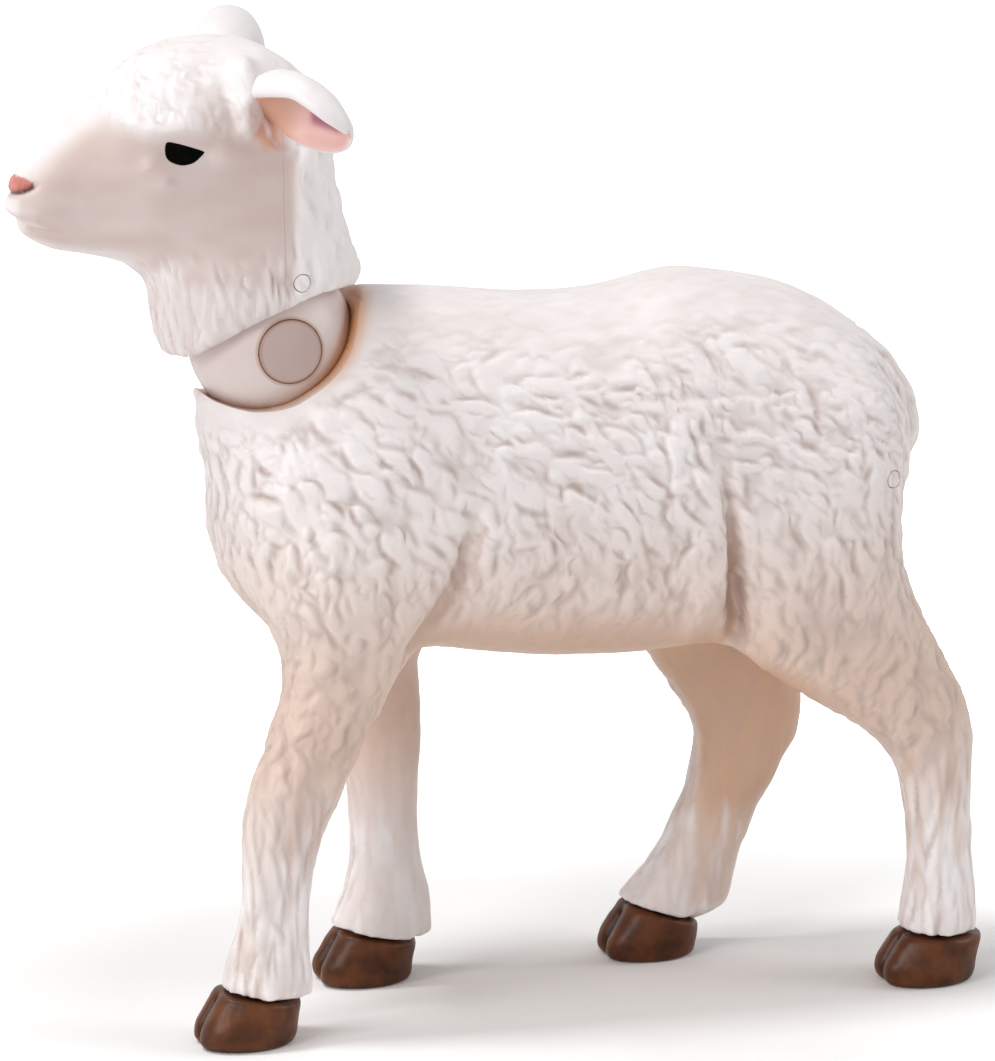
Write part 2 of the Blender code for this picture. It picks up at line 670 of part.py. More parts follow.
def make_body():
    """Both body halves with their legs, the hooves, the tail and the rump pin."""
    form = body_form()
    socket = globe("socket", SOCKET_RADIUS)
    saddle = rim_region("saddle", SADDLE_RIM_SHARES, True)
    half_slot = LUG_THICKNESS / 2 + FIT_CLEARANCE
    pocket = prism("lug_pocket", lug_outline(FIT_CLEARANCE), -half_slot, half_slot)
    tail_place = make_tail("tail_place", SEAM_GAP)
    pin_x, pin_z = torso_place(*RUMP_PIN_PLACE_SHARE)
    pin_place = Vector((pin_x, 0.0, pin_z))
    pin_hole = cross_pin("rump_hole", pin_place, OVERRUN, FIT_CLEARANCE)

    inner = [row for row in TORSO_SHARES if CAVITY_START_SHARE < row[0] < CAVITY_END_SHARE]
    cavity = loft("cavity", torso_rings(inner, SHELL_WALL))
    tower_half = LUG_FOOT_WIDTH / 2 + SHELL_WALL
    tower_low = Vector((BALL.x - tower_half, -half_slot - SHELL_WALL, 0.0))
    tower_high = Vector((BALL.x + tower_half, half_slot + SHELL_WALL, BALL.z))
    cut(cavity, box("lug_tower", tower_low, tower_high))
    cut(cavity, globe("socket_shell", SOCKET_RADIUS + SHELL_WALL))
    dowels = []
    for along, height in BOSS_PLACE_SHARES:
        x, z = torso_place(along, height)
        middle = Vector((x, 0.0, z))
        reach = Vector((0.0, TORSO_WIDTH, 0.0))
        cut(cavity, rod("boss", middle - reach, middle + reach, BOSS_RADIUS, ROUND_POINTS // 2))
        dowels.append(middle)

    rump_pin = cross_pin("rump_pin", pin_place, OVERRUN, 0.0)
    keep(rump_pin, form)
    cut(form, socket, saddle, tail_place, pin_hole)
    pieces = {"rump_pin": rump_pin, "tail": make_tail("tail", 0.0)}
    for leg in LEGS:
        hoof, clearers = make_hoof(leg)
        cut(form, *clearers)
        pieces["hoof_" + leg] = hoof
    right = duplicate(form, "body_right")
    left = form
    pieces["body_left"] = left
    pieces["body_right"] = right
    reach = Vector((OVERRUN, OVERRUN, OVERRUN))
    cut(left, box("right_side", Vector((-reach.x, -SEAM_GAP / 2, -reach.z)), reach))
    cut(right, box("left_side", -reach, Vector((reach.x, SEAM_GAP / 2, reach.z))))
    for half in (left, right):
        cut(half, cavity, pocket)
    for middle in dowels:
        root = middle - Vector((0.0, DOWEL_LENGTH, 0.0))
        tip = middle + Vector((0.0, DOWEL_LENGTH, 0.0))
        join(left, rod("dowel", root, tip, DOWEL_RADIUS, ROUND_POINTS // 2))
        tip.y += FIT_CLEARANCE
        cut(right, rod("dowel_hole", root, tip, DOWEL_RADIUS + FIT_CLEARANCE, ROUND_POINTS // 2))
    return pieces


def slot_outline():
    """The ball's slot: round the lug's eye, open below over the nod's range."""
    radius = LUG_EYE_RADIUS + FIT_CLEARANCE
    half = LUG_WIDTH / 2 + FIT_CLEARANCE
    start = math.asin(half / radius)
    first = start + NOD_UP
    last = math.tau - start - NOD_DOWN
    steps = ROUND_POINTS // 2
    outline = []
    for step in range(steps + 1):
        angle = first + (last - first) * step / steps
        outline.append((radius * math.sin(angle), -radius * math.cos(angle)))
    reach = BALL_RADIUS * SLOT_REACH_SHARE
    for offset, turn in ((-half, -NOD_DOWN), (half, NOD_UP)):
        x = offset * math.cos(turn) + reach * math.sin(turn)
        z = offset * math.sin(turn) - reach * math.cos(turn)
        outline.append((x, z))
    return [(BALL.x + x, BALL.z + z) for x, z in outline]


def make_neck():
    """The ball with its peg, the hinge pin across it and the lug that it rides on."""
    flat = GROOVE_HEIGHT
    shelf = math.asin(flat / BALL_RADIUS)
    profile = sphere_profile(BALL_RADIUS, -POLE_ANGLE, shelf, SPHERE_STEPS)
    top = GROOVE_HEIGHT + GROOVE_WIDTH
    profile += [(GROOVE_RADIUS, flat), (GROOVE_RADIUS, top), (PEG_RADIUS, top), (PEG_RADIUS, PEG_LENGTH)]
    ball = turned("neck_ball", profile, BALL, NECK_AXIS)
    half_slot = LUG_THICKNESS / 2 + FIT_CLEARANCE
    cut(ball, prism("slot", slot_outline(), -half_slot, half_slot))
    across = Vector((0.0, 1.0, 0.0))
    seat = math.sqrt(BALL_RADIUS ** 2 - PIN_HEAD_RADIUS ** 2) + FIT_CLEARANCE
    bore = PIN_RADIUS + FIT_CLEARANCE
    cut(ball, rod("bore", BALL - across * BALL_RADIUS, BALL + across * BALL_RADIUS, bore))
    well_floor = seat - PIN_HEAD_LENGTH
    well = PIN_HEAD_RADIUS + FIT_CLEARANCE
    cut(ball, rod("well", BALL - across * BALL_RADIUS, BALL - across * (well_floor - FIT_CLEARANCE), well))
    head = rod("neck_pin", BALL - across * seat, BALL - across * well_floor, PIN_HEAD_RADIUS)
    far = math.sqrt(BALL_RADIUS ** 2 - PIN_RADIUS ** 2)
    root = seat - PIN_HEAD_LENGTH / 2
    join(head, rod("pin_shank", BALL - across * root, BALL + across * far, PIN_RADIUS))
    lug = prism("neck_lug", lug_outline(0.0), -LUG_THICKNESS / 2, LUG_THICKNESS / 2)
    cut(lug, rod("lug_eye", BALL - across * LUG_THICKNESS, BALL + across * LUG_THICKNESS, bore))
    return ball, head, lug


def head_place(along_share, height_share):
    """X and Z of a point given as shares of the head's length and depth."""
    return BALL.x - NOSE_REACH + HEAD_LENGTH * along_share, BALL.z + JAW_RISE + HEAD_DEPTH * height_share


def head_form():
    """The head and the neck's skirt as one blended form."""
    rings = []
    for along, bottom, top, width in HEAD_SHARES:
        x, low = head_place(along, bottom)
        high = head_place(along, top)[1]
        centre = Vector((x, 0.0, (low + high) / 2))
        half_width = Vector((0.0, HEAD_WIDTH / 2 * width, 0.0))
        rings.append(oval(centre, half_width, Vector((0.0, 0.0, (high - low) / 2)), LIMB_SQUARENESS))
    skull = loft("skull", rings)
    rings = []
    for height, offset, length, width in NECK_SHARES:
        centre = BALL + NECK_AXIS * (BALL_RADIUS * height) + NECK_BACK * (NECK_HALF_LENGTH * offset)
        half_width = Vector((0.0, NECK_HALF_WIDTH * width, 0.0))
        rings.append(oval(centre, NECK_BACK * (NECK_HALF_LENGTH * length), half_width, LIMB_SQUARENESS))
    neck = loft("neck", rings)
    return blend("head_form", [skull, neck], HEAD_VOXEL)


def make_eye(side, form):
    """A black almond inlaid flush with the face, and the cutter for its seat."""
    x, z = head_place(*EYE_PLACE_SHARES)
    pairs = []
    for grow in (0.0, FIT_CLEARANCE):
        length = EYE_LENGTH + 2 * grow
        height = EYE_HEIGHT + 2 * grow
        almond = curve_through(EYE_OUTLINE_SHARES, EYE_STEPS, closed=True)
        outline = [(x + u * length, z + v * height) for u, v in almond]
        floor = side * (HEAD_WIDTH / 2 * EYE_CHEEK_SHARE - EYE_DEPTH - grow)
        outside = side * HEAD_WIDTH
        pairs.append(prism("almond", outline, min(floor, outside), max(floor, outside)))
    eye, seat = pairs
    keep(eye, form)
    return eye, seat


def ear_rings(sections, root, reach, forward, up, height, depth, shift):
    """Oval sections of an ear along its length."""
    rings = []
    for place, height_share, depth_share in sections:
        centre = root + reach * place + forward * shift
        rings.append(oval(centre, up * (height / 2 * height_share), forward * (depth / 2 * depth_share)))
    return rings


def make_ear(word, skin):
    """A cupped ear with a plug at its root, and the cutter for the plug's hole."""
    side, sweep, lift = EARS[word]
    height_share, spread_share = EAR_PLACE_SHARES
    z = head_place(0.0, height_share)[1]
    root = Vector((EAR_ROOT_X, side * HEAD_WIDTH / 2 * spread_share, z))
    level = Vector((math.sin(sweep), side * math.cos(sweep), 0.0))
    along = level * math.cos(lift) + Vector((0.0, 0.0, math.sin(lift)))
    ahead = Vector((-math.cos(sweep), side * math.sin(sweep), 0.0))
    above = along.cross(ahead) * side
    forward = ahead * math.cos(EAR_DROOP) - above * math.sin(EAR_DROOP)
    up = along.cross(forward) * side
    reach = along * EAR_LENGTH
    ear = loft("ear_" + word, ear_rings(EAR_SHARES, root, reach, forward, up, EAR_HEIGHT, EAR_DEPTH, 0.0))
    cut(ear, skin)
    start = root - along * EAR_PLUG_LENGTH
    end = root + reach * EAR_PLUG_REACH_SHARE
    join(ear, rod("plug", start, end, EAR_PLUG_RADIUS, ROUND_POINTS // 2))
    inner = [row for row in EAR_SHARES if EAR_SCOOP_START_SHARE < row[0] < 1.0]
    scoop_height = EAR_HEIGHT - 2 * EAR_WALL
    cut(ear, loft("scoop", ear_rings(inner, root, reach, forward, up, scoop_height, EAR_DEPTH, EAR_WALL)))
    start = start - along * FIT_CLEARANCE
    return ear, rod("plug_hole", start, end, EAR_PLUG_RADIUS + FIT_CLEARANCE, ROUND_POINTS // 2)


def make_nape_pin(form):
    """The cross pin that keeps the ball's peg in the head, and the cutter for its hole."""
    pin = cross_pin("nape_pin", NAPE_PIN_PLACE, HEAD_WIDTH, 0.0)
    keep(pin, form)
    return pin, cross_pin("nape_hole", NAPE_PIN_PLACE, HEAD_WIDTH, FIT_CLEARANCE)


def make_head():
    """Face and nape shells over the ball, with ears, eyes and the nape pin."""
    form = head_form()
    raw = duplicate(form, "head_raw")
    skin = grown(form, "head_skin", SEAM_GAP)
    cut(form, rim_region("under_skirt", SKIRT_RIM_SHARES, False))
    reach = Vector((OVERRUN, OVERRUN, OVERRUN))
    nape = duplicate(form, "nape")
    cut(nape, box("face_side", -reach, Vector((NAPE_SEAM_X + SEAM_GAP / 2, reach.y, reach.z))))
    cut(form, box("nape_side", Vector((NAPE_SEAM_X - SEAM_GAP / 2, -reach.y, -reach.z)), reach))
    floor = GROOVE_HEIGHT + SOCKET_CLEARANCE
    shelf = math.asin(floor / SOCKET_RADIUS)
    bore_radius = PEG_RADIUS + SOCKET_CLEARANCE
    profile = sphere_profile(SOCKET_RADIUS, -POLE_ANGLE, shelf, SPHERE_STEPS)
    profile += [(bore_radius, floor), (bore_radius, PEG_LENGTH + SOCKET_CLEARANCE)]
    socket = turned("head_socket", profile, BALL, NECK_AXIS)
    cut(form, socket)
    pin, pin_hole = make_nape_pin(raw)
    cut(nape, socket, pin_hole)
    pieces = {"nape_pin": pin}
    for word, side in (("left", -1), ("right", 1)):
        eye, seat = make_eye(side, raw)
        cut(form, seat)
        pieces["eye_" + word] = eye
        ear, hole = make_ear(word, skin)
        cut(form, hole)
        pieces["ear_" + word] = ear
    _, dowel_z = head_place(0.0, NAPE_DOWEL_SHARES[1])
    for side in (-1, 1):
        middle = Vector((NAPE_SEAM_X, side * HEAD_WIDTH / 2 * NAPE_DOWEL_SHARES[0], dowel_z))
        root = middle + Vector((DOWEL_LENGTH, 0.0, 0.0))
        tip = middle - Vector((DOWEL_LENGTH, 0.0, 0.0))
        join(nape, rod("nape_dowel", root, tip, DOWEL_RADIUS, ROUND_POINTS // 2))
        tip.x -= FIT_CLEARANCE
        cut(form, rod("nape_dowel_hole", root, tip, DOWEL_RADIUS + FIT_CLEARANCE, ROUND_POINTS // 2))
    pieces["head_front"] = form
    pieces["nape_cover"] = nape
    return pieces


def plastic(name, colour, roughness):
    """A moulded plastic in one colour."""
    material = bpy.data.materials.new(name)
    material.use_nodes = True
    shader = material.node_tree.nodes["Principled BSDF"]
    shader.inputs["Base Color"].default_value = (*colour, 1.0)
    shader.inputs["Roughness"].default_value = roughness
    shader.inputs["Metallic"].default_value = 0.0
    material.diffuse_color = (*colour, 1.0)
    return material


def finish(thing, name, material, carrier):
    """Name and shade one piece, and hang it on the empty of its joint's axis."""
    GUIDES.remove(thing)
    thing.name = name
    thing.data.name = name
    thing.data.materials.clear()
    thing.data.materials.append(material)
    thing.data.shade_smooth()
    thing.data.set_sharp_from_angle(angle=SHARP_ANGLE)
    if carrier:
        thing.data.transform(carrier.matrix_world.inverted())
        thing.parent = carrier


def joint_axis(name, lean, carrier):
    """An empty at the ball's centre, its Z axis leaning towards the nose."""
    axis = bpy.data.objects.new(name, None)
    bpy.context.scene.collection.objects.link(axis)
    if carrier:
        axis.parent = carrier
        axis.rotation_euler = (0.0, -lean, 0.0)
    else:
        axis.location = BALL
    bpy.context.view_layer.update()
    return axis


def main():
    """Build every piece of the lamb."""
    for thing in list(bpy.data.objects):
        bpy.data.objects.remove(thing)
    nod = joint_axis("neck_nod_axis", 0.0, None)
    turn = joint_axis("head_turn_axis", NECK_LEAN, nod)
    for name, piece in make_body().items():
        colour, roughness = BODY_LOOKS.get(name.split("_")[0], (FLEECE_WHITE, MATT_ROUGHNESS))
        finish(piece, name, plastic(name + "_pvc", colour, roughness), None)
    ball, pin, lug = make_neck()
    finish(lug, "neck_lug", plastic("neck_lug_abs", LUG_WHITE, SATIN_ROUGHNESS), None)
    finish(ball, "neck_ball", plastic("neck_ball_abs", BALL_WHITE, SATIN_ROUGHNESS), nod)
    finish(pin, "neck_pin", plastic("neck_pin_abs", PIN_MAUVE, SATIN_ROUGHNESS), nod)
    for name, piece in make_head().items():
        colour, roughness = HEAD_LOOKS.get(name.split("_")[0], (FLEECE_WHITE, MATT_ROUGHNESS))
        finish(piece, name, plastic(name + "_pvc", colour, roughness), turn)
    for guide in GUIDES:
        bpy.data.objects.remove(guide)


main()
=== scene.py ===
# %% [markdown]
# # A toy lamb with a turning head
# The toy in the photograph is read as a lamb about 67 mm tall, moulded in soft white PVC with a thin tan wash
# painted over it; here that tan is mixed with painted shade in the grooves, in the creases and under the
# body.
# Its neck is a smooth ball held by a cross pin, so that the head nods and turns. The solids are already there
# as plain closed shapes. This lesson dresses them: it lays a fine skin over each shape, presses folds and
# wool into it, cuts crisp joints, and paints everything with procedural materials, painted shade among them.

# %% Load the solids
import json
import math

import bmesh
import bpy
import numpy as np
from mathutils import Matrix, Vector
from mathutils.kdtree import KDTree


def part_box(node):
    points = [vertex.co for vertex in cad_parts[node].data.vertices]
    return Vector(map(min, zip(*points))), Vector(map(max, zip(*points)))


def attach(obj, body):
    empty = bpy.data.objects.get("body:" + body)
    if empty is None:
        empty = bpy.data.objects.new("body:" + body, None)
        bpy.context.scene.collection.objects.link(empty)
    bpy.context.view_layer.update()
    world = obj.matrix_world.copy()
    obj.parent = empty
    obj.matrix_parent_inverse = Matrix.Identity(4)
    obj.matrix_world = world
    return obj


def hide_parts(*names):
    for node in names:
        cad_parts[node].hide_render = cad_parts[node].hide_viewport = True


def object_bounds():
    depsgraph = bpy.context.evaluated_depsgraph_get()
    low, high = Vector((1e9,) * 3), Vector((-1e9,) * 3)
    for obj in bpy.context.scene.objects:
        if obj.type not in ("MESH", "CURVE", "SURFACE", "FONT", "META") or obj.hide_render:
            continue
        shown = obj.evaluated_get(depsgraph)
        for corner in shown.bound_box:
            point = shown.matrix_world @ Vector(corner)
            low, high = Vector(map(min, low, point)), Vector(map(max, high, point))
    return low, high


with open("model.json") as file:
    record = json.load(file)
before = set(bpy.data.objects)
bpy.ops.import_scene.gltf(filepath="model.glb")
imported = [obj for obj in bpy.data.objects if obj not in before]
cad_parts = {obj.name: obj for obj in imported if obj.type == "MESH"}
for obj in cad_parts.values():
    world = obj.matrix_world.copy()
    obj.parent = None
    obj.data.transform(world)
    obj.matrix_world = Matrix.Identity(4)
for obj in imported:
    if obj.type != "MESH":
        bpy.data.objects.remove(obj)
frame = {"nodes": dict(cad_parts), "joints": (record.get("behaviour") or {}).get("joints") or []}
cad_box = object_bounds()
MM = 0.001
nodes = frame["nodes"]
joints = {joint["name"]: joint for joint in frame["joints"]}
print(f"{len(nodes)} solids, {(cad_box[1].z - cad_box[0].z) / MM:.1f} mm tall")

# %% [markdown]
# ## The camera
# The photograph is taken from a little in front of the lamb's left side and a little above it, with a long
# lens that flattens the figure. The distance and the scale in pixels give the lens. The same numbers turn a
# pixel of the picture into a point on an upright plane along the lamb, so that folds can be placed on it.

# %% Camera at the photograph's angle
PHOTO_WIDTH = 995
PHOTO_HEIGHT = 1061
VIEW_TURN = -17.0
VIEW_TILT = 12.5
VIEW_DISTANCE = 350 * MM
PIXELS_PER_MM = 15.0
TARGET_SHARE = 0.48
focal_pixels = PIXELS_PER_MM * VIEW_DISTANCE / MM
target = Vector((0.0, 0.0, cad_box[1].z * TARGET_SHARE))


def place_object(name, data):
    """Link a mesh, a camera or a lamp to the scene as an object."""
    thing = bpy.data.objects.new(name, data)
    bpy.context.scene.collection.objects.link(thing)
    return thing


def aim(thing, turn, tilt, distance):
    """Place a camera or a lamp by a turn and a tilt in degrees, and face it to the figure."""
    turn, tilt = math.radians(turn), math.radians(tilt)
    away = Vector((math.sin(turn) * math.cos(tilt), -math.cos(turn) * math.cos(tilt), math.sin(tilt)))
    thing.location = target + away * distance
    thing.rotation_euler = away.to_track_quat("Z", "Y").to_euler()


camera_data = bpy.data.cameras.new("studio_camera")
camera_data.lens = focal_pixels / PHOTO_HEIGHT * camera_data.sensor_width
camera = place_object("studio_camera", camera_data)
aim(camera, VIEW_TURN, VIEW_TILT, VIEW_DISTANCE)
bpy.context.scene.camera = camera
print(f"lens {camera_data.lens:.0f} mm")


# %% From a pixel to a place on the figure


def photo_point(pixel, depth):
    """X and Z, in millimetres, of a pixel of the photograph on the upright plane y = depth."""
    turn = camera.rotation_euler.to_matrix()
    ray = turn @ Vector((
        (pixel[0] - PHOTO_WIDTH / 2) / focal_pixels,
        (PHOTO_HEIGHT / 2 - pixel[1]) / focal_pixels,
        -1.0,
    ))
    place = camera.location + ray * ((depth - camera.location.y) / ray.y)
    return place.x / MM, place.z / MM

# %% [markdown]
# ## Floor and light
# The figure stands on a white sweep under soft studio light. The floor is drawn a little brighter for the
# camera alone, which keeps it white while it still takes the shadow. One lamp stands high above, to the left,
# and casts the shadow down to the right. Two low ones, on the viewer's side, light the left and the right.

# %% Tools for nodes and colours


def add(tree, kind, links=None, **settings):
    """Add one node: settings are its properties, links are socket values or sockets to join."""
    made = tree.nodes.new(kind)
    for key, value in settings.items():
        setattr(made, key, value)
    for key, value in (links or {}).items():
        if isinstance(value, bpy.types.NodeSocket):
            tree.links.new(value, made.inputs[key])
        else:
            made.inputs[key].default_value = value
    return made


def maths(tree, operation, first, second):
    """The result of one sum of two values."""
    return add(tree, "ShaderNodeMath", {0: first, 1: second}, operation=operation).outputs[0]


def colour(code):
    """An sRGB hex code as linear red, green, blue and one."""
    parts = [int(code[place:place + 2], 16) / 255 for place in (1, 3, 5)]
    linear = [part / 12.92 if part <= 0.04045 else ((part + 0.055) / 1.055) ** 2.4 for part in parts]
    return (*linear, 1.0)


# %% Sky
AMBIENT = 0.31
world = bpy.data.worlds.new("white_studio")
bpy.context.scene.world = world
world.use_nodes = True
sky = world.node_tree
sky.nodes.clear()
path = add(sky, "ShaderNodeLightPath").outputs
seen = maths(sky, "MAXIMUM", path["Is Camera Ray"], path["Is Glossy Ray"])
seen = maths(sky, "MAXIMUM", seen, path["Is Transmission Ray"])
power = add(sky, "ShaderNodeMix", {0: seen, 2: AMBIENT, 3: 1.0})
white = add(sky, "ShaderNodeBackground", {"Color": colour("#FFFFFF"), "Strength": power.outputs[0]})
add(sky, "ShaderNodeOutputWorld", {"Surface": white.outputs[0]})
print(f"a white sky that lights with {AMBIENT}")

# %% Floor
FLOOR_GLOW_NEAR = 0.04
FLOOR_GLOW_FAR = 0.95
FLOOR_GLOW_START = 0.026
FLOOR_GLOW_END = 0.12
FLOOR_SIZE = 3.0
FLOOR_DROP = 0.01 * MM
floor_mesh = bpy.data.meshes.new("white_floor")
far = FLOOR_SIZE / 2
floor_mesh.from_pydata([(-far, -far, 0), (far, -far, 0), (far, far, 0), (-far, far, 0)], [], [(0, 1, 2, 3)])
floor = place_object("white_floor", floor_mesh)
floor.location.z = -FLOOR_DROP
# White paper, with a glow that only the camera sees
paper = bpy.data.materials.new("white_paper")
paper.use_nodes = True
tree = paper.node_tree
tree.nodes.clear()
matt = add(tree, "ShaderNodeBsdfDiffuse", {"Color": colour("#FBFBFB")})
path = add(tree, "ShaderNodeLightPath").outputs
place = add(tree, "ShaderNodeTexCoord").outputs["Object"]
distance = add(tree, "ShaderNodeVectorMath", {0: place}, operation="LENGTH").outputs["Value"]
spread = add(tree, "ShaderNodeMapRange", {
    0: distance, 1: FLOOR_GLOW_START, 2: FLOOR_GLOW_END, 3: FLOOR_GLOW_NEAR, 4: FLOOR_GLOW_FAR,
})
glow_power = maths(tree, "MULTIPLY", path["Is Camera Ray"], spread.outputs[0])
glow = add(tree, "ShaderNodeEmission", {"Color": colour("#FFFFFF"), "Strength": glow_power})
both = add(tree, "ShaderNodeAddShader", {0: matt.outputs[0], 1: glow.outputs[0]})
add(tree, "ShaderNodeOutputMaterial", {"Surface": both.outputs[0]})
floor_mesh.materials.append(paper)
print(f"floor {FLOOR_SIZE} m wide")

# %% Lamps
# Lamp name: its turn and tilt in degrees, its distance and size in metres, its watts.
LAMPS = {
    "top_lamp": (-97.0, 66.0, 0.8, 0.15, 2.75),
    "left_lamp": (-60.0, 26.0, 0.9, 0.40, 3.3),
    "right_lamp": (72.0, 28.0, 0.9, 0.40, 2.1),
}
for name, (turn, tilt, distance, size, watts) in LAMPS.items():
    lamp = bpy.data.lights.new(name, "AREA")
    lamp.size = size
    lamp.energy = watts
    aim(place_object(name, lamp), turn, tilt, distance)
bpy.context.scene.view_settings.view_transform = "Standard"
print(f"{len(LAMPS)} lamps")

# %% [markdown]
# ## Small tools for meshes
# A turned or an extruded shape is a skin over rings of points. A voxel remesh welds several closed shapes
# into one even skin of tiny squares, which a sculptor starts from. Boolean cuts then give crisp edges.

# %% Skins over rings of points


def settle(thing):
    """Swap an object's mesh for the one that its modifiers give."""
    graph = bpy.context.evaluated_depsgraph_get()
    mesh = bpy.data.meshes.new_from_object(thing.evaluated_get(graph))
    thing.modifiers.clear()
    thing.data = mesh
    mesh.name = thing.name
    return thing


def loft(name, rings):
    """Close a skin over rings of equal point counts."""
    shape = bmesh.new()
    loops = [[shape.verts.new(point) for point in ring] for ring in rings]
    count = len(loops[0])
    for lower, upper in zip(loops, loops[1:]):
        for index in range(count):
            after = (index + 1) % count
            shape.faces.new((lower[index], lower[after], upper[after], upper[index]))
    shape.faces.new(loops[0])
    shape.faces.new(loops[-1])
    bmesh.ops.recalc_face_normals(shape, faces=shape.faces)
    mesh = bpy.data.meshes.new(name)
    shape.to_mesh(mesh)
    shape.free()
    return place_object(name, mesh)


# %% Turned and extruded shapes


def turned(name, profile, centre, axis, count=96):
    """A solid turned about an axis, from radius and height pairs."""
    side = axis.orthogonal().normalized()
    other = axis.cross(side)
    turns = [math.tau * index / count for index in range(count)]
    rings = []
    for radius, height in profile:
        middle = centre + axis * height
        rings.append([middle + side * radius * math.cos(t) + other * radius * math.sin(t) for t in turns])
    return loft(name, rings)


def ball_profile(radius, low=-0.495 * math.pi, high=0.495 * math.pi, steps=48):
    """Radius and height pairs on a ball between two latitudes."""
    angles = [low + (high - low) * step / steps for step in range(steps + 1)]
    return [(radius * math.cos(angle), radius * math.sin(angle)) for angle in angles]


def prism(name, outline, low, high):
    """An outline in X and Z, extruded along Y."""
    return loft(name, [[Vector((x, y, z)) for x, z in outline] for y in (low, high)])


def block(name, low, high):
    """A box between two corners, as a cutter."""
    outline = [(low[0], low[2]), (high[0], low[2]), (high[0], high[2]), (low[0], high[2])]
    return prism(name, outline, low[1], high[1])


# %% Cutting, curving and welding
MERGE_DISTANCE = 0.001 * MM


def boolean(thing, cutter, operation="DIFFERENCE", keep_cutter=False):
    """Apply one Boolean and drop the cutter."""
    modifier = thing.modifiers.new("cut", "BOOLEAN")
    modifier.operation = operation
    modifier.solver = "MANIFOLD"
    modifier.object = cutter
    settle(thing)
    if not keep_cutter:
        bpy.data.objects.remove(cutter)
    return thing


def smooth_curve(points, steps):
    """Catmull-Rom points through a list of pairs."""
    points = np.array([points[0], *points, points[-1]], float)
    result = []
    for before, start, end, after in zip(points, points[1:], points[2:], points[3:]):
        for t in np.arange(steps) / steps:
            result.append(0.5 * (2 * start + (end - before) * t
                                 + (2 * before - 5 * start + 4 * end - after) * t ** 2
                                 + (3 * start - before - 3 * end + after) * t ** 3))
    return result + [points[-1]]


# %% Copying and welding


def moved_copy(node, shift=(0.0, 0.0, 0.0), grow=1.0):
    """A copy of a solid's mesh, moved, and grown across its Y axis."""
    mesh = nodes[node].data.copy()
    low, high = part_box(node)
    middle = (low + high) / 2
    size = Matrix.Diagonal((grow, 1.0, grow, 1.0))
    mesh.transform(Matrix.Translation(middle + Vector(shift)) @ size @ Matrix.Translation(-middle))
    return mesh


def weld(name, meshes, voxel):
    """One even skin over several closed shapes."""
    shape = bmesh.new()
    for mesh in meshes:
        shape.from_mesh(mesh)
    bmesh.ops.remove_doubles(shape, verts=shape.verts, dist=MERGE_DISTANCE)
    joined = bpy.data.meshes.new(name)
    shape.to_mesh(joined)
    shape.free()
    thing = place_object(name, joined)
    skin = thing.modifiers.new("skin", "REMESH")
    skin.mode = "VOXEL"
    skin.voxel_size = voxel
    return settle(thing)


# %% [markdown]
# ## Smoothing a skin
# The solids have flat facets about 1.5 mm wide, which a moulded toy doesn't. Each point is moved towards the
# middle of its neighbours many times. That also shrinks thin legs, so the loss is smoothed in the same way
# and given back. Points near a sharp edge of the solid hold still, so that the cuffs stay crisp.

# %% Reading and moving points


def read_vectors(items, key):
    """One vector for each item of a mesh's list."""
    values = np.empty(len(items) * 3, np.float32)
    items.foreach_get(key, values)
    return values.reshape(-1, 3).astype(float)


def read_points(mesh):
    """The mesh's points in millimetres."""
    return read_vectors(mesh.vertices, "co") / MM


def write_points(mesh, points):
    """Move the mesh's points, given in millimetres."""
    mesh.vertices.foreach_set("co", (points * MM).astype(np.float32).ravel())
    mesh.update()


def read_normals(mesh):
    """The way out of the mesh at each point."""
    return read_vectors(mesh.vertex_normals, "vector")


def read_skin(thing):
    """An object's points and normals."""
    return read_points(thing.data), read_normals(thing.data)


def raise_skin(thing, points, normals, relief):
    """Move points along their normals by a height each."""
    write_points(thing.data, points + normals * relief[:, None])


# %% Soft steps


def ramp(values, low, high):
    """A soft step from 0 at low to 1 at high."""
    share = np.clip((values - low) / (high - low), 0.0, 1.0)
    return share * share * (3.0 - 2.0 * share)


def fall(values, full, none):
    """A soft step from 1 at full down to 0 at none."""
    return ramp(-values, -none, -full)


# %% Smoothing
HOLD_WITHIN = 0.25
FREE_BEYOND = 0.9


def relax(mesh, values, passes, hold=None):
    """Average values over the mesh's edges, many times."""
    ends = np.empty(len(mesh.edges) * 2, np.int32)
    mesh.edges.foreach_get("vertices", ends)
    first, second = ends[0::2], ends[1::2]
    count = len(mesh.vertices)
    share = 1.0 / (np.bincount(first, minlength=count) + np.bincount(second, minlength=count))
    if hold is not None:
        share = share * hold
    keep = 1.0 if hold is None else hold
    values = values.copy()
    for _ in range(passes):
        for column in values.T:
            total = np.bincount(first, column[second], count) + np.bincount(second, column[first], count)
            column += total * share - column * keep
    return values


# %% Edges that stay sharp


def sharp_points(names, least_angle, step=0.25):
    """Points along the sharp edges of some solids, in millimetres."""
    found = []
    for name in names:
        shape = bmesh.new()
        shape.from_mesh(nodes[name].data)
        bmesh.ops.remove_doubles(shape, verts=shape.verts, dist=MERGE_DISTANCE)
        for edge in shape.edges:
            if len(edge.link_faces) == 2 and edge.calc_face_angle() > least_angle:
                start, end = (vert.co / MM for vert in edge.verts)
                count = max(2, int((end - start).length / step))
                found += [start.lerp(end, part / count) for part in range(count)]
        shape.free()
    return found


def tree_of(points):
    """A search tree over points."""
    tree = KDTree(len(points))
    for index, point in enumerate(points):
        tree.insert(point, index)
    tree.balance()
    return tree


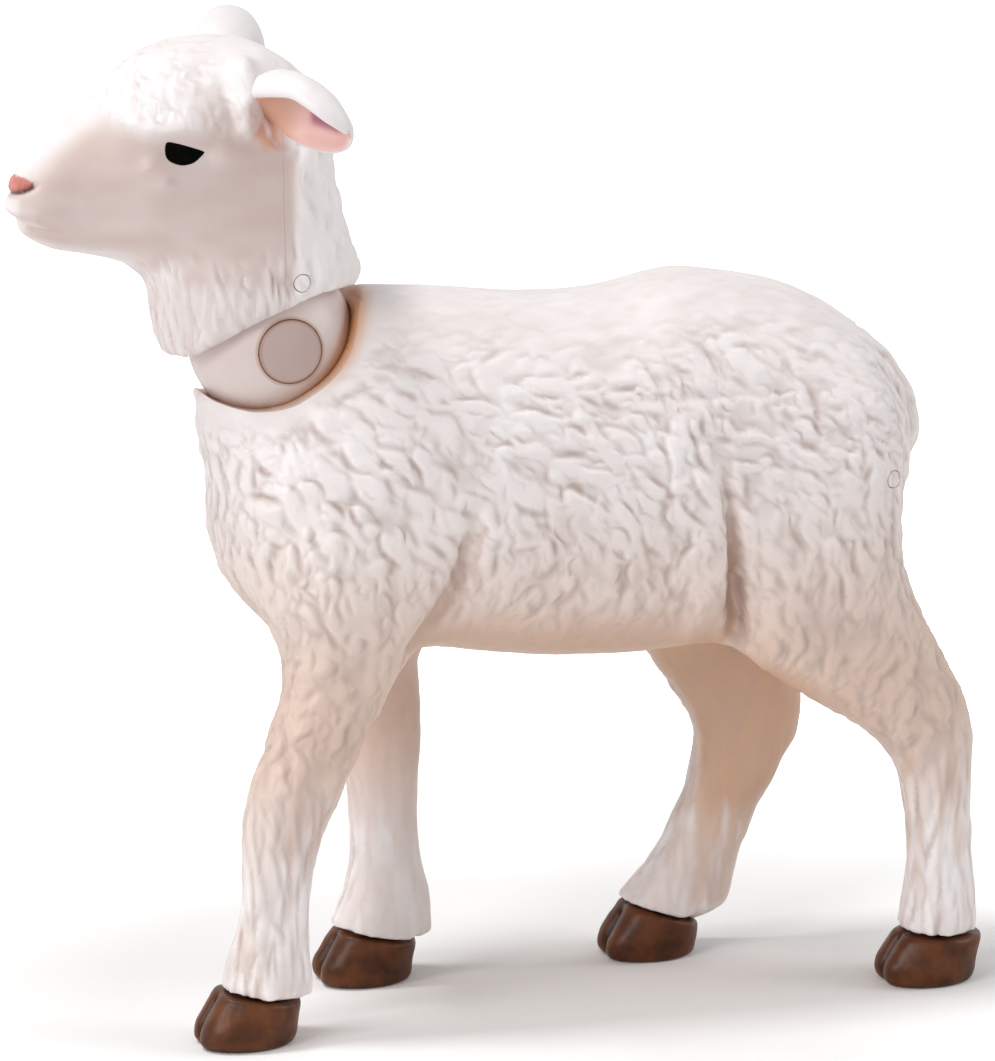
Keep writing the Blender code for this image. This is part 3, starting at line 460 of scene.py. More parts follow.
def soften(thing, passes, guards=()):
    """Smooth a skin, keep its girth, and hold it near the guard points."""
    points = read_points(thing.data)
    hold = np.ones(len(points))
    if len(guards):
        near = tree_of(guards)
        hold = ramp(np.array([near.find(point)[2] for point in points]), HOLD_WITHIN, FREE_BEYOND)
    smoothed = relax(thing.data, points, passes, hold)
    smoothed += relax(thing.data, points - smoothed, passes, hold)
    write_points(thing.data, smoothed)
    return thing


# %% [markdown]
# ## Sculpting tools
# A fold is pressed along a line that is drawn on the photograph: each point near the line, seen from the
# side, moves along its normal. A zone is an outline on the photograph, with a soft edge, that says where wool
# or paint goes. Both work on the near side and, mirrored, on the far side.

# %% Folds
NEAR_DEPTH = -8.0 * MM


def line_strength(points, line):
    """Distance in the side view from each point to a line of X, Z and strength, and the strength there."""
    flat = points[:, (0, 2)]
    best = np.full(len(points), np.inf)
    strength = np.ones(len(points))
    for start, end in zip(line, line[1:]):
        along = end[:2] - start[:2]
        share = np.clip((flat - start[:2]) @ along / max(along @ along, 1e-9), 0.0, 1.0)
        away = np.linalg.norm(flat - start[:2] - share[:, None] * along, axis=1)
        closer = away < best
        best[closer] = away[closer]
        strength[closer] = (start[2] + (end[2] - start[2]) * share)[closer]
    return best, strength


def side_line(pixels, depth):
    """Pixels of the photograph, with a strength after X and Y where it isn't 1, as X, Z and strength."""
    line = []
    for x, y, *rest in pixels:
        line.append((*photo_point((x, y), depth), rest[0] if rest else 1.0))
    return np.array(line)


def fold(points, pixels, width, height, depth=NEAR_DEPTH):
    """Height of a soft ridge, or a groove where it is negative, along a line on the photograph."""
    away, strength = line_strength(points, side_line(pixels, depth))
    return height * strength * np.exp(-((away / width) ** 2))


def folds(points, forms, depth=NEAR_DEPTH, total=0.0):
    """Add up named folds, each given as its line, its width and its height in millimetres."""
    for pixels, width, height in forms.values():
        total = total + fold(points, pixels, width, height, depth)
    return total


# %% Zones and lumps
HASH_PRIMES = (73856093, 19349663, 83492791)
HASH_FACTOR = 2654435761
HASH_SHIFT = 12345
SEED_STRIDE = 37.7


def zone(points, pixels, soft, depth=NEAR_DEPTH):
    """One inside an outline on the photograph, nought outside, with a soft edge in millimetres."""
    line = side_line([*pixels, pixels[0]], depth)
    inside = np.zeros(len(points), bool)
    x, z = points[:, 0], points[:, 2]
    for (x0, z0, _), (x1, z1, _) in zip(line, line[1:]):
        crosses = (z0 > z) != (z1 > z)
        inside ^= crosses & (x < (x1 - x0) * (z - z0) / (z1 - z0 + 1e-12) + x0)
    distance = line_strength(points, line)[0]
    return ramp(np.where(inside, distance, -distance), -soft, soft)


def lumps(points, size, seed):
    """Smooth random heights between -1 and 1, lumps of one size in millimetres."""
    grid = points / size + SEED_STRIDE * seed
    base = np.floor(grid).astype(np.int64)
    part = grid - base
    part = part * part * (3.0 - 2.0 * part)
    total = np.zeros(len(points))
    for corner in np.ndindex(2, 2, 2):
        key = np.bitwise_xor.reduce((base + corner) * HASH_PRIMES, axis=1)
        key = (key * HASH_FACTOR + HASH_SHIFT) & 0xFFFFFFFF
        value = ((key >> 9) & 0xFFFF) / 32767.5 - 1.0
        total += value * np.prod(np.where(corner, part, 1.0 - part), axis=1)
    return total


# %% [markdown]
# ## Wool
# The wool of the mould is short wavy locks, each a raised ridge about 0.35 mm wide and 1 to 3 mm long with a
# groove beside it. A noise texture gives no direction to them, so each lock is pressed in by itself: it
# starts at a scattered point, runs along the lie of the wool there, and sways or curls.

# %% Locks of wool
# Every random choice comes from this one seeded generator, so each run makes the same wool.
random = np.random.default_rng(7)
STRAY = 0.28
LENGTH_RANGE = (0.45, 1.5)
WIDTH_RANGE = (0.7, 1.3)
HEIGHT_RANGE = (0.4, 1.3)
STEEP_SIDE, GENTLE_SIDE = 2.4, 0.8
GROOVE_PLACE, GROOVE_WIDTH = 0.85, 0.4


def scatter(points, spacing):
    """One random point in each cell of a grid, so that the points spread evenly."""
    order = random.permutation(len(points))
    cells = np.floor(points[order] / spacing).astype(int)
    _, picked = np.unique(cells, axis=0, return_index=True)
    return order[picked]


def comb(points, normals, near, seeds, lie, form):
    """Height of raised locks for every point, in millimetres, and of the groove on each lock's steep side.

    A form is a lock's length, width and height in millimetres, and its sway and hook as shares of its length.
    """
    length, width, height, sway, hook = form
    ridge = np.zeros(len(points))
    groove = np.zeros(len(points))
    for seed in seeds:
        normal = normals[seed]
        along = lie[seed] + random.normal(0.0, STRAY, 3)
        along = along - normal * (along @ normal)
        along /= np.linalg.norm(along) + 1e-9
        across = np.cross(normal, along) * random.choice((1.0, 1.0, -1.0))
        reach = length * random.uniform(*LENGTH_RANGE)
        wide = width * random.uniform(*WIDTH_RANGE)
        index = np.array([hit[1] for hit in near.find_range(points[seed], reach / 2 + 1.6 * wide)])
        index = index[normals[index] @ normal > 0.2]
        offset = points[index] - points[seed]
        u, v = offset @ along, offset @ across
        wave = math.tau / (reach * random.uniform(0.7, 1.5))
        v = v - sway * reach * np.sin(wave * u + random.uniform(0.0, math.tau))
        v = v - hook * random.uniform(-1.0, 1.0) * u * u / reach
        taper = np.clip(1.0 - (2.0 * np.abs(u) / reach) ** 2, 0.0, 1.0)
        d = v / (wide * (0.5 + 0.5 * taper))
        tall = random.uniform(*HEIGHT_RANGE) * height
        crest = np.exp(-(np.where(d > 0.0, STEEP_SIDE, GENTLE_SIDE) * d) ** 2)
        trough = np.exp(-((d - GROOVE_PLACE) / GROOVE_WIDTH) ** 2)
        ridge[index] = np.maximum(ridge[index], tall * taper * crest)
        groove[index] = np.maximum(groove[index], tall * taper * trough)
    return ridge, groove


# %% Finishing a piece
SHARP_EDGE = math.radians(50.0)


def thin_out(thing, triangles):
    """Collapse the flattest edges until about this many triangles are left."""
    now = sum(len(face.vertices) - 2 for face in thing.data.polygons)
    if now > triangles:
        fewer = thing.modifiers.new("fewer", "DECIMATE")
        fewer.ratio = triangles / now
        settle(thing)
    return thing


def paint(thing, name, values, domain="POINT"):
    """Store one value for each point or face of a mesh."""
    layer = thing.data.attributes.new(name, "FLOAT", domain)
    layer.data.foreach_set("value", np.asarray(values, np.float32))


def carry(values, source, thing):
    """Paint values from one set of points onto the nearest points of a finished mesh."""
    near = tree_of(source)
    index = [near.find(point)[1] for point in read_points(thing.data)]
    for name, column in values.items():
        paint(thing, name, column[index])


def finish_piece(thing, body, slot, material, *stands_for):
    """Shade a piece, give it its material and hang it on its body."""
    thing.data.shade_smooth()
    thing.data.set_sharp_from_angle(angle=SHARP_EDGE)
    thing.data.materials.clear()
    thing.data.materials.append(material)
    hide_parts(*stands_for)
    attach(thing, body)
    print(f"{thing.name}: {len(thing.data.polygons)} faces")


# %% [markdown]
# ## Materials of the moulded plastics
# The fleece is soft PVC, sprayed warm white. Painted shade, grey-brown and tan, lies in the grooves and is
# left off the ridges, which draws every lock, and a tan wash mixed with painted shade darkens the lower
# parts. The mesh carries how deep each point lies and how shaded it is, and the shader mixes the painted
# shade by these marks. PVC is a dielectric with an index of about 1.53, and the paint is satin, so ridges
# catch small lights.

# %% Plastic and paint
PLASTIC_INDEX = 1.53
BLOTCH_DETAIL = 3.0
GRAIN_DETAIL = 2.0


def tint(tree, under, over, amount):
    """Lay one colour over another by an amount."""
    return add(tree, "ShaderNodeMix", {0: amount, 6: under, 7: over}, data_type="RGBA").outputs[2]


def mark(tree, name):
    """The value that the mesh carries under a name."""
    return add(tree, "ShaderNodeAttribute", attribute_name=name).outputs["Fac"]


def noise(tree, size_mm, detail):
    """Soft noise with lumps of one size."""
    place = add(tree, "ShaderNodeTexCoord").outputs["Object"]
    scale = 1.0 / (size_mm * MM)
    return add(tree, "ShaderNodeTexNoise", {"Vector": place, "Scale": scale, "Detail": detail}).outputs[0]


def mixed(tree, recipe):
    """A plain paint from one sRGB code, or blotches from two codes and their size in millimetres."""
    if isinstance(recipe, str):
        return colour(recipe)
    first, second, size_mm = recipe
    share = add(tree, "ShaderNodeMapRange", {0: noise(tree, size_mm, BLOTCH_DETAIL), 1: 0.3, 2: 0.7})
    return tint(tree, colour(first), colour(second), share.outputs[0])


# %% A plastic under its paints


def painted_plastic(name, base, rough, under, coats=(), grain=None, specular=0.5):
    """A plastic under coats of paint. A coat is a recipe and where it lies: a mark's name or a function."""
    material = bpy.data.materials.new(name)
    material.use_nodes = True
    tree = material.node_tree
    shader = tree.nodes["Principled BSDF"]
    settings = {"Base Color": colour(base), "Roughness": rough, "IOR": PLASTIC_INDEX,
                "Specular IOR Level": specular}
    for key, value in settings.items():
        shader.inputs[key].default_value = value
    painted = mixed(tree, under)
    for recipe, where in coats:
        amount = mark(tree, where) if isinstance(where, str) else where(tree)
        painted = tint(tree, painted, mixed(tree, recipe), amount)
    tree.links.new(painted, shader.inputs["Base Color"])
    if grain:
        size_mm, height_mm = grain
        height = noise(tree, size_mm, GRAIN_DETAIL)
        bump = add(tree, "ShaderNodeBump", {"Height": height, "Distance": height_mm * MM, "Strength": 1.0})
        tree.links.new(bump.outputs[0], shader.inputs["Normal"])
    return material


# %% Four painted plastics
# Warm white PVC with a tan wash and painted shade in the grooves, under the body and in the creases, and
# brown painted shade with some wash in the gap at the neck's rim
fleece_pvc = painted_plastic(
    "fleece_sprayed_pvc", "#F5EFEE", 0.44, ("#F8F3F3", "#F0E8E7", 5.0),
    (("#CFA585", "wash_and_shade"), ("#B9A39A", "recess_shade"), ("#D29050", "rim")), (0.16, 0.006))
# The face's PVC, smoother, with painted shade on the face, in the grooves of the wool and at the ears' roots,
# and the nose and the nostril's line painted on
face_pvc = painted_plastic(
    "face_sprayed_pvc", "#F2EAE9", 0.48, ("#F8F3F3", "#F0E9E8", 4.0),
    (("#C3A79D", "wash_and_shade"), ("#B9A39A", "recess_shade"), ("#9C5A26", "rim"),
     (("#D58F84", "#B9645A", 0.7), "nose"), ("#43201A", "lips"), ("#D9A58B", "ear_hollow")), (0.16, 0.004))
# The ear's PVC, pink inside and white outside, with painted shade: tan deep in the hollow and mauve under the
# hood
ear_pvc = painted_plastic(
    "ear_sprayed_pvc", "#EDB3A8", 0.44, "#EBC1B8",
    (("#D9A58B", "hollow"), ("#A45E7A", "mauve"), ("#EFE9E9", "outside")), (0.18, 0.004))
# Brown enamel on the hooves, with painted shade darker in the cleft and the dents
hoof_enamel = painted_plastic(
    "hoof_brown_enamel", "#5A2E14", 0.36, ("#693A1B", "#3C1D0B", 1.6),
    (("#1C0B04", "recess_shade"),), (0.35, 0.02), 0.22)
print("four painted plastics")

# %% [markdown]
# ## The neck joint's rims
# The body ends in a rim that dips round the ball, and the head in a skirt that hangs over it. The rims are
# drawn in the side view as shares of the ball's radius, and cut through the finished skins, so that their
# edges are crisp while the wool runs up to them.

# %% Rims and the ball's place
ball_centre = Vector(joints["neck_nod"]["pos_m"])
neck_axis = Vector(joints["head_turn"]["axis"]).normalized()
ball_radius = ball_centre.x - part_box("neck_ball")[0].x
SOCKET_CLEARANCE = 0.09 * MM
SEAM_GAP = 2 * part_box("body_right")[0].y
HAIR = 0.01 * MM
socket_radius = ball_radius + SOCKET_CLEARANCE
SADDLE_RIM_SHARES = (
    (-0.88, -0.575), (-0.77, -0.635), (-0.51, -0.695), (-0.27, -0.69), (0.00, -0.62),
    (0.27, -0.46), (0.50, -0.29), (0.71, -0.04), (0.84, 0.22), (0.92, 0.42), (1.04, 0.56), (1.35, 0.72),
)
SKIRT_RIM_SHARES = (
    (-1.50, -0.15), (-1.13, -0.12), (-0.93, 0.03), (-0.44, 0.34), (0.00, 0.52),
    (0.27, 0.62), (0.55, 0.66), (0.82, 0.67), (1.20, 0.68), (1.50, 0.68),
)
RIM_TRIM = 0.12 * MM
FRONT_SLOPE = 0.28
RIM_STEPS = 8
FAR_AWAY = 0.1


# %% Rim lines and cutters


def rim_line(shares, shift):
    """A rim in the side view, in metres."""
    line = smooth_curve(shares, RIM_STEPS)
    return [(ball_centre.x + x * ball_radius, ball_centre.z + z * ball_radius + shift) for x, z in line]


def rim_cutter(name, shares, shift, upward):
    """Everything above or below a rim."""
    rim = rim_line(shares, shift)
    far = FAR_AWAY if upward else -FAR_AWAY
    (front_x, front_z), (rear_x, rear_z) = rim[0], rim[-1]
    if upward:
        drop = (front_x - FRONT_SLOPE * FAR_AWAY, front_z - FAR_AWAY)
        outline = [drop, *rim, (rear_x, far), (drop[0], far)]
    else:
        before, behind = front_x - FAR_AWAY, rear_x + FAR_AWAY
        outline = [(before, front_z), *rim, (behind, rear_z), (behind, far), (before, far)]
    return prism(name, outline, -FAR_AWAY, FAR_AWAY)


def globe(name, radius):
    """A ball round the neck joint's centre."""
    return turned(name, ball_profile(radius), ball_centre, neck_axis)


print(f"ball radius {ball_radius / MM:.2f} mm")

# %% [markdown]
# ## The body's skin
# On the real toy the body is two moulded shells, glued along the middle. Both are welded into one skin first,
# because the wool runs over the seam, and they are cut apart again at the end. The neck's socket is filled
# with a ball for now and cut fresh later.

# %% Weld and smooth the body
BODY_VOXEL = 0.165 * MM
BODY_PASSES = 80
COLLAR_WALL = 0.5 * MM
PLUG_GROW = 1.35
GUARD_ANGLE = math.radians(55.0)
SEAM_MARGIN = 0.4
NECK_MARGIN = 8.0
CUFF_TOP = 12.0
RUMP_START = 22.0
half_shift = SEAM_GAP / 2 - HAIR
neck_mm = np.array(ball_centre) / MM


def is_guard(point):
    """Whether a sharp edge is kept there: at the cuffs and the rump, clear of the seam and the neck."""
    from_neck = np.array(point) - neck_mm
    clear = abs(point.y) > SEAM_MARGIN and from_neck @ from_neck > NECK_MARGIN ** 2
    return clear and (point.z < CUFF_TOP or point.x > RUMP_START)


collar = globe("collar", socket_radius + COLLAR_WALL)
body_meshes = [
    moved_copy("body_left", (0.0, half_shift + 2 * HAIR, 0.0)),
    moved_copy("body_right", (0.0, -half_shift - 2 * HAIR, 0.0)),
    moved_copy("rump_pin", grow=PLUG_GROW),
    collar.data,
]
body = weld("lamb_body", body_meshes, BODY_VOXEL)
bpy.data.objects.remove(collar)
guards = [point for point in sharp_points(("body_left", "body_right"), GUARD_ANGLE) if is_guard(point)]
soften(body, BODY_PASSES, guards)
print(f"body skin: {len(body.data.vertices)} points, {len(guards)} guard points")

# %% [markdown]
# ## Folds of the body
# The big forms come before the wool: the deep crease between flank and thigh, the hollow behind the shoulder,
# the fold along the flank. They are drawn on the photograph, where they show, and mirrored to the far side.

# %% Fold the body
THIGH_CREASE = ((716, 450, 0.15), (727, 500, 0.45), (733, 560, 0.85), (738, 610, 1.0), (745, 655, 1.0))
SHOULDER_CREASE = ((476, 505, 0.3), (466, 550, 0.8), (452, 595, 1.0), (436, 630, 1.0), (420, 652, 0.8))
BODY_FOLDS = {
    "flank edge": (((690, 450, 0.3), (706, 520, 0.8), (710, 590, 1.0), (700, 640, 0.9)), 1.15, 0.50),
    "thigh front": (((768, 470, 0.4), (772, 540, 1.0), (778, 620, 0.7)), 1.4, 0.25),
    "shoulder crease": (SHOULDER_CREASE, 0.75, -0.95),
    "shoulder edge": (((440, 500, 0.4), (425, 570, 1.0), (405, 620, 0.8)), 1.3, 0.28),
    "shoulder blade": (((330, 420, 0.5), (380, 470, 1.0), (400, 530, 0.6)), 2.2, 0.22),
    "flank fold": (((640, 402, 0.4), (690, 398, 1.0), (740, 392, 1.0), (790, 398, 0.5)), 0.30, -0.22),
    "hock groove": (((900, 770), (925, 840), (930, 910)), 0.5, -0.18),
    "knee front": (((252, 800, 1.0), (246, 830, 0.6)), 1.0, 0.2),
}
RIGHT_CREASE_SHARE = 0.4
CHEST_PUFF = 0.9
CHEST_PUFF_RISE = -5.8
CHEST_PUFF_SPREAD = 2.0
FOLD_PASSES = 3
body_points, body_normals = read_skin(body)
x, y, z = body_points.T
front = ramp(-(x - neck_mm[0]), 1.5, 4.5)
puff = np.exp(-(((z - neck_mm[2] - CHEST_PUFF_RISE) / CHEST_PUFF_SPREAD) ** 2)) * front
stride = np.where(y > 0.0, RIGHT_CREASE_SHARE, 1.0)
shape = folds(body_points, BODY_FOLDS, total=fold(body_points, THIGH_CREASE, 0.55, -1.9) * stride)
outward = ramp(np.abs(body_normals[:, 1]), 0.2, 0.6) * (body_normals[:, 1] * y > 0)
body_points = body_points + body_normals * (shape * outward + CHEST_PUFF * puff)[:, None]
body_points = relax(body.data, body_points, FOLD_PASSES)
write_points(body.data, body_points)
crease = fold(body_points, THIGH_CREASE, 0.40, 1.0) * stride + fold(body_points, SHOULDER_CREASE, 0.7, 0.45)
crease *= outward
print(f"deepest fold {shape.min():.2f} mm")

# %% [markdown]
# ## Wool of the body
# Locks run down and back over the flank, straight down the legs and the belly, and lie nearly flat along the
# back. Large locks make the clumps and small ones their wisps, and bare patches are left between them.

# %% Where the body is woolly
body_points, body_normals = read_skin(body)
x, y, z = body_points.T
socket_mm = socket_radius / MM
neck_distance = np.linalg.norm(body_points - neck_mm, axis=1)
inner = ramp(-body_normals[:, 1] * np.sign(y), 0.1, 0.6) * fall(z, 21.0, 25.0)
belly = ramp(-body_normals[:, 2], 0.3, 0.8) * ramp(z, 18.0, 22.0)
back = ramp(body_normals[:, 2], 0.35, 0.80) * ramp(z, 38.0, 41.0)
collar_band = ramp(neck_distance, socket_mm + 1.0, socket_mm + 3.0)
leg = fall(z, 14.0, 20.0)
woolly = collar_band * (1.0 - 0.6 * inner) * (1.0 - 0.7 * belly) * (1.0 - 0.85 * back)
haunch = np.maximum(ramp(x, 10.0, 15.0), ramp(-x, 6.0, 10.0))
woolly *= 0.50 + 0.50 * np.maximum(ramp(z, 23.0, 32.0), 0.75 * haunch)
woolly *= 1.0 - 0.8 * np.clip(crease, 0.0, 1.0)
patchy = ramp(lumps(body_points, 3.4, 31) + 0.5 * lumps(body_points, 1.6, 32), -0.75, 0.25)
print(f"{np.mean(woolly > 0.5):.0%} of the body's points are woolly")

# %% Comb the body
# Forms of the locks: length, width and height in mm, sway and hook as shares of the length.
CLUMP = (2.6, 0.62, 0.17, 0.05, 0.35)
WISP = (1.7, 0.34, 0.12, 0.07, 0.45)
STRAND = (3.8, 0.42, 0.13, 0.015, 0.06)
steep = fall(z, 28.0, 40.0)
zero = np.zeros(len(x))
swirl = np.stack([lumps(body_points, 4.5, 21), zero, 0.5 * lumps(body_points, 4.5, 22)], axis=1)
lie = np.stack([0.8 * (1.0 - steep) + 1.5 * back, zero, -(0.6 + 0.4 * steep) * (1.0 - back)], axis=1)
lie = lie + 0.55 * swirl * (1.0 - leg)[:, None]
cloth = (body_points, body_normals, tree_of(body_points))
clumps = scatter(body_points, 1.7)
clumps = clumps[(woolly[clumps] > 0.15) & (z[clumps] > 15.0)]
wisps = scatter(body_points, 0.85)
chosen = random.random(len(wisps)) < 0.25 + 0.6 * patchy[wisps]
wisps = wisps[(woolly[wisps] > 0.1) & (z[wisps] > 13.0) & chosen]
strands = scatter(body_points, 1.25)
strands = strands[z[strands] <= 19.0]
big = comb(*cloth, clumps, lie, CLUMP)
small = comb(*cloth, wisps, lie, WISP)
long = comb(*cloth, strands, 2.5 * lie, STRAND)
print(f"{len(clumps)} clumps, {len(wisps)} wisps, {len(strands)} strands")

# %% Raise the wool
WOOL_LIMIT = 0.25
RIM_WOOL_LOSS = 0.17
CUFF_LIMIT = 0.45
ridge = np.maximum(big[0] + 0.6 * small[0] * (0.4 + 0.6 * patchy), small[0]) * (1.0 - leg) + leg * long[0]
groove = np.maximum(big[1], small[1]) * (1.0 - leg) + leg * long[1]
hills = 0.13 * lumps(body_points, 2.7, 1) + 0.06 * lumps(body_points, 1.3, 4)
relief = woolly * (ridge - 0.55 * groove + hills * (1.0 - 0.6 * leg))
relief *= 1.0 - 0.35 * fall(z, 8.0, 14.0)
streaks = lumps(body_points * (1.0, 1.0, 0.16), 0.55, 3)
relief += 0.03 * leg * streaks
waves = 0.05 * lumps(body_points, 3.0, 2) + 0.02 * lumps(body_points * (0.3, 1.0, 1.0), 0.6, 5)
relief += waves * collar_band
cuff = fall(z, 3.4, 6.0) * fall(np.abs(body_normals[:, 2]), 0.4, 0.8)
relief += cuff * (0.15 + 0.06 * lumps(body_points, 0.8, 6))
rim_side = fall(neck_distance, socket_mm + 1.5, socket_mm + 3.0)
relief = np.minimum(relief, np.where(cuff > 0.0, CUFF_LIMIT, WOOL_LIMIT - RIM_WOOL_LOSS * rim_side))
body_points = body_points + body_normals * relief[:, None]
print(f"relief from {relief.min():.2f} to {relief.max():.2f} mm")

# %% Thin the chest's lip
LIP_WALL = 0.16
LIP_SLOPE = 1.7
rim = np.array(rim_line(SADDLE_RIM_SHARES, -RIM_TRIM)) / MM
below = np.interp(body_points[:, 0], rim[:, 0], rim[:, 1]) - body_points[:, 2]
spoke = body_points - neck_mm
reach = np.linalg.norm(spoke, axis=1)
excess = np.maximum(reach - socket_mm - LIP_WALL - LIP_SLOPE * np.maximum(below, 0.0), 0.0)
excess *= ramp(-spoke[:, 0], 2.2, 4.0) * fall(below, 0.7, 1.5)
body_points = body_points - spoke / reach[:, None] * excess[:, None]
write_points(body.data, body_points)
print(f"the lip loses up to {excess.max():.2f} mm")

# %% [markdown]
# ## Paint marks of the body
# Painted shade, mixed with a thin tan wash, darkens the grooves of the wool, the creases, the lower flank,
# the belly and the insides of the legs, and paler painted streaks of light run down the lower insides of the
# legs.
# Here each point gets a number for its painted shade by depth and one for the wash and the shade, before the
# skin is cut, so that the paint runs on over the seams. The skin is then thinned, because flat wool needs
# fewer triangles.

# %% Mark and thin the body
REAR_SHADE = ((712, 640), (810, 660), (810, 760), (785, 830), (750, 905), (688, 905), (698, 840), (710, 780),
              (716, 720))
FAR_LEG_DEPTH = 3.0 * MM
BODY_TRIANGLES = 320000
# Painted shade by depth: grey-brown in the grooves of the wool, in the creases and in blotches, more on the
# lower flank, and left off the crests.
blotches = ramp(lumps(body_points, 3.0, 33) + 0.6 * lumps(body_points, 1.2, 34), -0.8, 0.9)
shade = 0.10 + 0.10 * steep + 0.14 * blotches
depth = woolly * (shade + groove * 3.8 - ridge * 3.6 - hills * 2.0) + 0.10 + 0.4 * crease
# Painted shade with a tan wash: under the flank and the belly, inside the legs, on the far hind leg's rear
# half and in the creases. Paler painted light streaks the lower insides of the legs, and the legs' outsides
# get streaky tone.
under = fall(z, 22.0, 39.0) * ramp(z, 8.0, 20.0)
hind_far = inner * ramp(x, -2.0, 2.0) * ramp(z, 3.0, 17.0)
rear_shade = zone(body_points, REAR_SHADE, 0.5, FAR_LEG_DEPTH) * inner
wash_and_shade = 0.04 + 0.60 * under + 0.26 * belly + 0.08 * inner + 0.60 * hind_far + 0.32 * rear_shade + 0.55 * crease
wash_and_shade += leg * (ramp(streaks, -0.1, 0.8) * 0.34 - 0.05) * (1.0 - inner)
wash_and_shade -= 0.5 * inner * ramp(streaks, 0.1, 0.9) * fall(z, 8.0, 16.0)
body_marks = {"recess_shade": np.clip(depth, 0.0, 1.0) * 0.9, "wash_and_shade": np.clip(wash_and_shade, 0.0, 0.95)}
body_source = read_points(body.data)
thin_out(body, BODY_TRIANGLES)
print(f"{len(body.data.polygons)} faces left")

# %% [markdown]
# ## Cutting the body's joints
# The socket, the rim, the lug's pocket and the seam are cut last, as a saw would cut a casting. Both shells
# go back to their solids' places, and only at the seam do they nearly touch, which leaves a hairline.

# %% Tools for pins, seams and rims
SEAM_REACH = 3.0
PIN_RING = 0.055 * MM
across = Vector((0.0, 1.0, 0.0))


def rod(name, radius, centre, low=-FAR_AWAY, high=FAR_AWAY, count=48):
    """A round bar along Y, between two distances from its centre."""
    return turned(name, [(radius, low), (radius, high)], centre, across, count)


def pin_in_skin(name, skin, node):
    """Cut a cross pin's ends out of a skin, so that the wool runs over them, and leave a ring round each."""
    low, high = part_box(node)
    place = (low + high) / 2
    radius = (high.x - low.x) / 2
    pin = place_object(name, skin.data.copy())
    boolean(pin, rod("rod", radius, place), "INTERSECT")
    boolean(skin, rod("hole", radius + PIN_RING, place))
    return pin


def open_seam(thing, axis, seam):
    """Move a shell back to its solid's place, but for the seam, where a hairline is left."""
    points = read_points(thing.data)
    away = points[:, axis] - seam / MM
    points[:, axis] += np.sign(away) * half_shift / MM * ramp(np.abs(away), 0.0, SEAM_REACH)
    write_points(thing.data, points)


def paint_rim(thing):
    """Brown paint in the socket and along its rim, wider at the back of the neck: painted shade of the gap
    round the ball, with some brown wash.
    """
    points = read_points(thing.data)
    away = np.linalg.norm(points - neck_mm, axis=1) - socket_mm
    rear = ramp(points[:, 0] - neck_mm[0], 1.0, 4.0)
    values = 0.90 * fall(away, 0.10, 0.40) + 0.95 * rear * fall(away, 0.5, 2.1)
    paint(thing, "rim", np.clip(values * fall(away, 2.0, 3.0), 0.0, 0.95))


# %% Cut the body
LUG_CLEARANCE = 0.15 * MM
HAIRLINE = 0.007 * MM
WHOLE = Vector((FAR_AWAY, FAR_AWAY, FAR_AWAY))
rump_pin = pin_in_skin("rump_pin_end", body, "rump_pin")
right_half = place_object("body_right_fleece", body.data.copy())
body.name = "body_left_fleece"
boolean(body, block("right_side", Vector((-FAR_AWAY, -HAIRLINE, -FAR_AWAY)), WHOLE))
boolean(right_half, block("left_side", -WHOLE, Vector((FAR_AWAY, HAIRLINE, FAR_AWAY))))
lug_low, lug_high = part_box("neck_lug")
room = Vector((LUG_CLEARANCE, LUG_CLEARANCE, LUG_CLEARANCE))
for half in (body, right_half):
    open_seam(half, 1, 0.0)
    boolean(half, rim_cutter("above_rim", SADDLE_RIM_SHARES, -RIM_TRIM, True))
    boolean(half, globe("socket", socket_radius))
    boolean(half, block("pocket", lug_low - room, Vector((lug_high.x, lug_high.y, ball_centre.z)) + room))
open_seam(rump_pin, 1, 0.0)
for piece in (body, right_half, rump_pin):
    carry(body_marks, body_source, piece)
    paint_rim(piece)
for piece, node in ((body, "body_left"), (right_half, "body_right"), (rump_pin, "rump_pin")):
    finish_piece(piece, "trunk", "fleece_pvc", fleece_pvc, node)

# %% [markdown]
# ## The tail
# A short tuft that hangs in its own place on the rump, with a few long tapering locks.

# %% Tail
TAIL_VOXEL = 0.13 * MM
TAIL_PASSES = 40
TAIL_TUFT = (3.2, 0.6, 0.16, 0.05, 0.2)
tail = weld("tail_fleece", [moved_copy("tail")], TAIL_VOXEL)
soften(tail, TAIL_PASSES)
points, normals = read_skin(tail)
down = np.tile((0.25, 0.0, -1.0), (len(points), 1))
tufts = scatter(points, 1.2)
ridge, groove = comb(points, normals, tree_of(points), tufts, down, TAIL_TUFT)
relief = ridge - 0.5 * groove - 0.05 + 0.06 * lumps(points, 1.5, 41)
raise_skin(tail, points, normals, relief)
# Painted shade in the tuft's grooves, left off the crests, and a faint even tan wash.
paint(tail, "recess_shade", np.clip(groove * 4.0 - ridge * 2.5 + 0.1, 0.0, 1.0) * 0.8)
paint(tail, "wash_and_shade", np.full(len(points), 0.06))
finish_piece(tail, "trunk", "fleece_pvc", fleece_pvc, "tail")

# %% [markdown]
# ## Hooves
# Each hoof is a cloven cap in brown enamel paint, laid on thickly enough to shine. It bulges out from under
# the cuff of wool. A cleft runs down its front, and shallow dents catch the light.

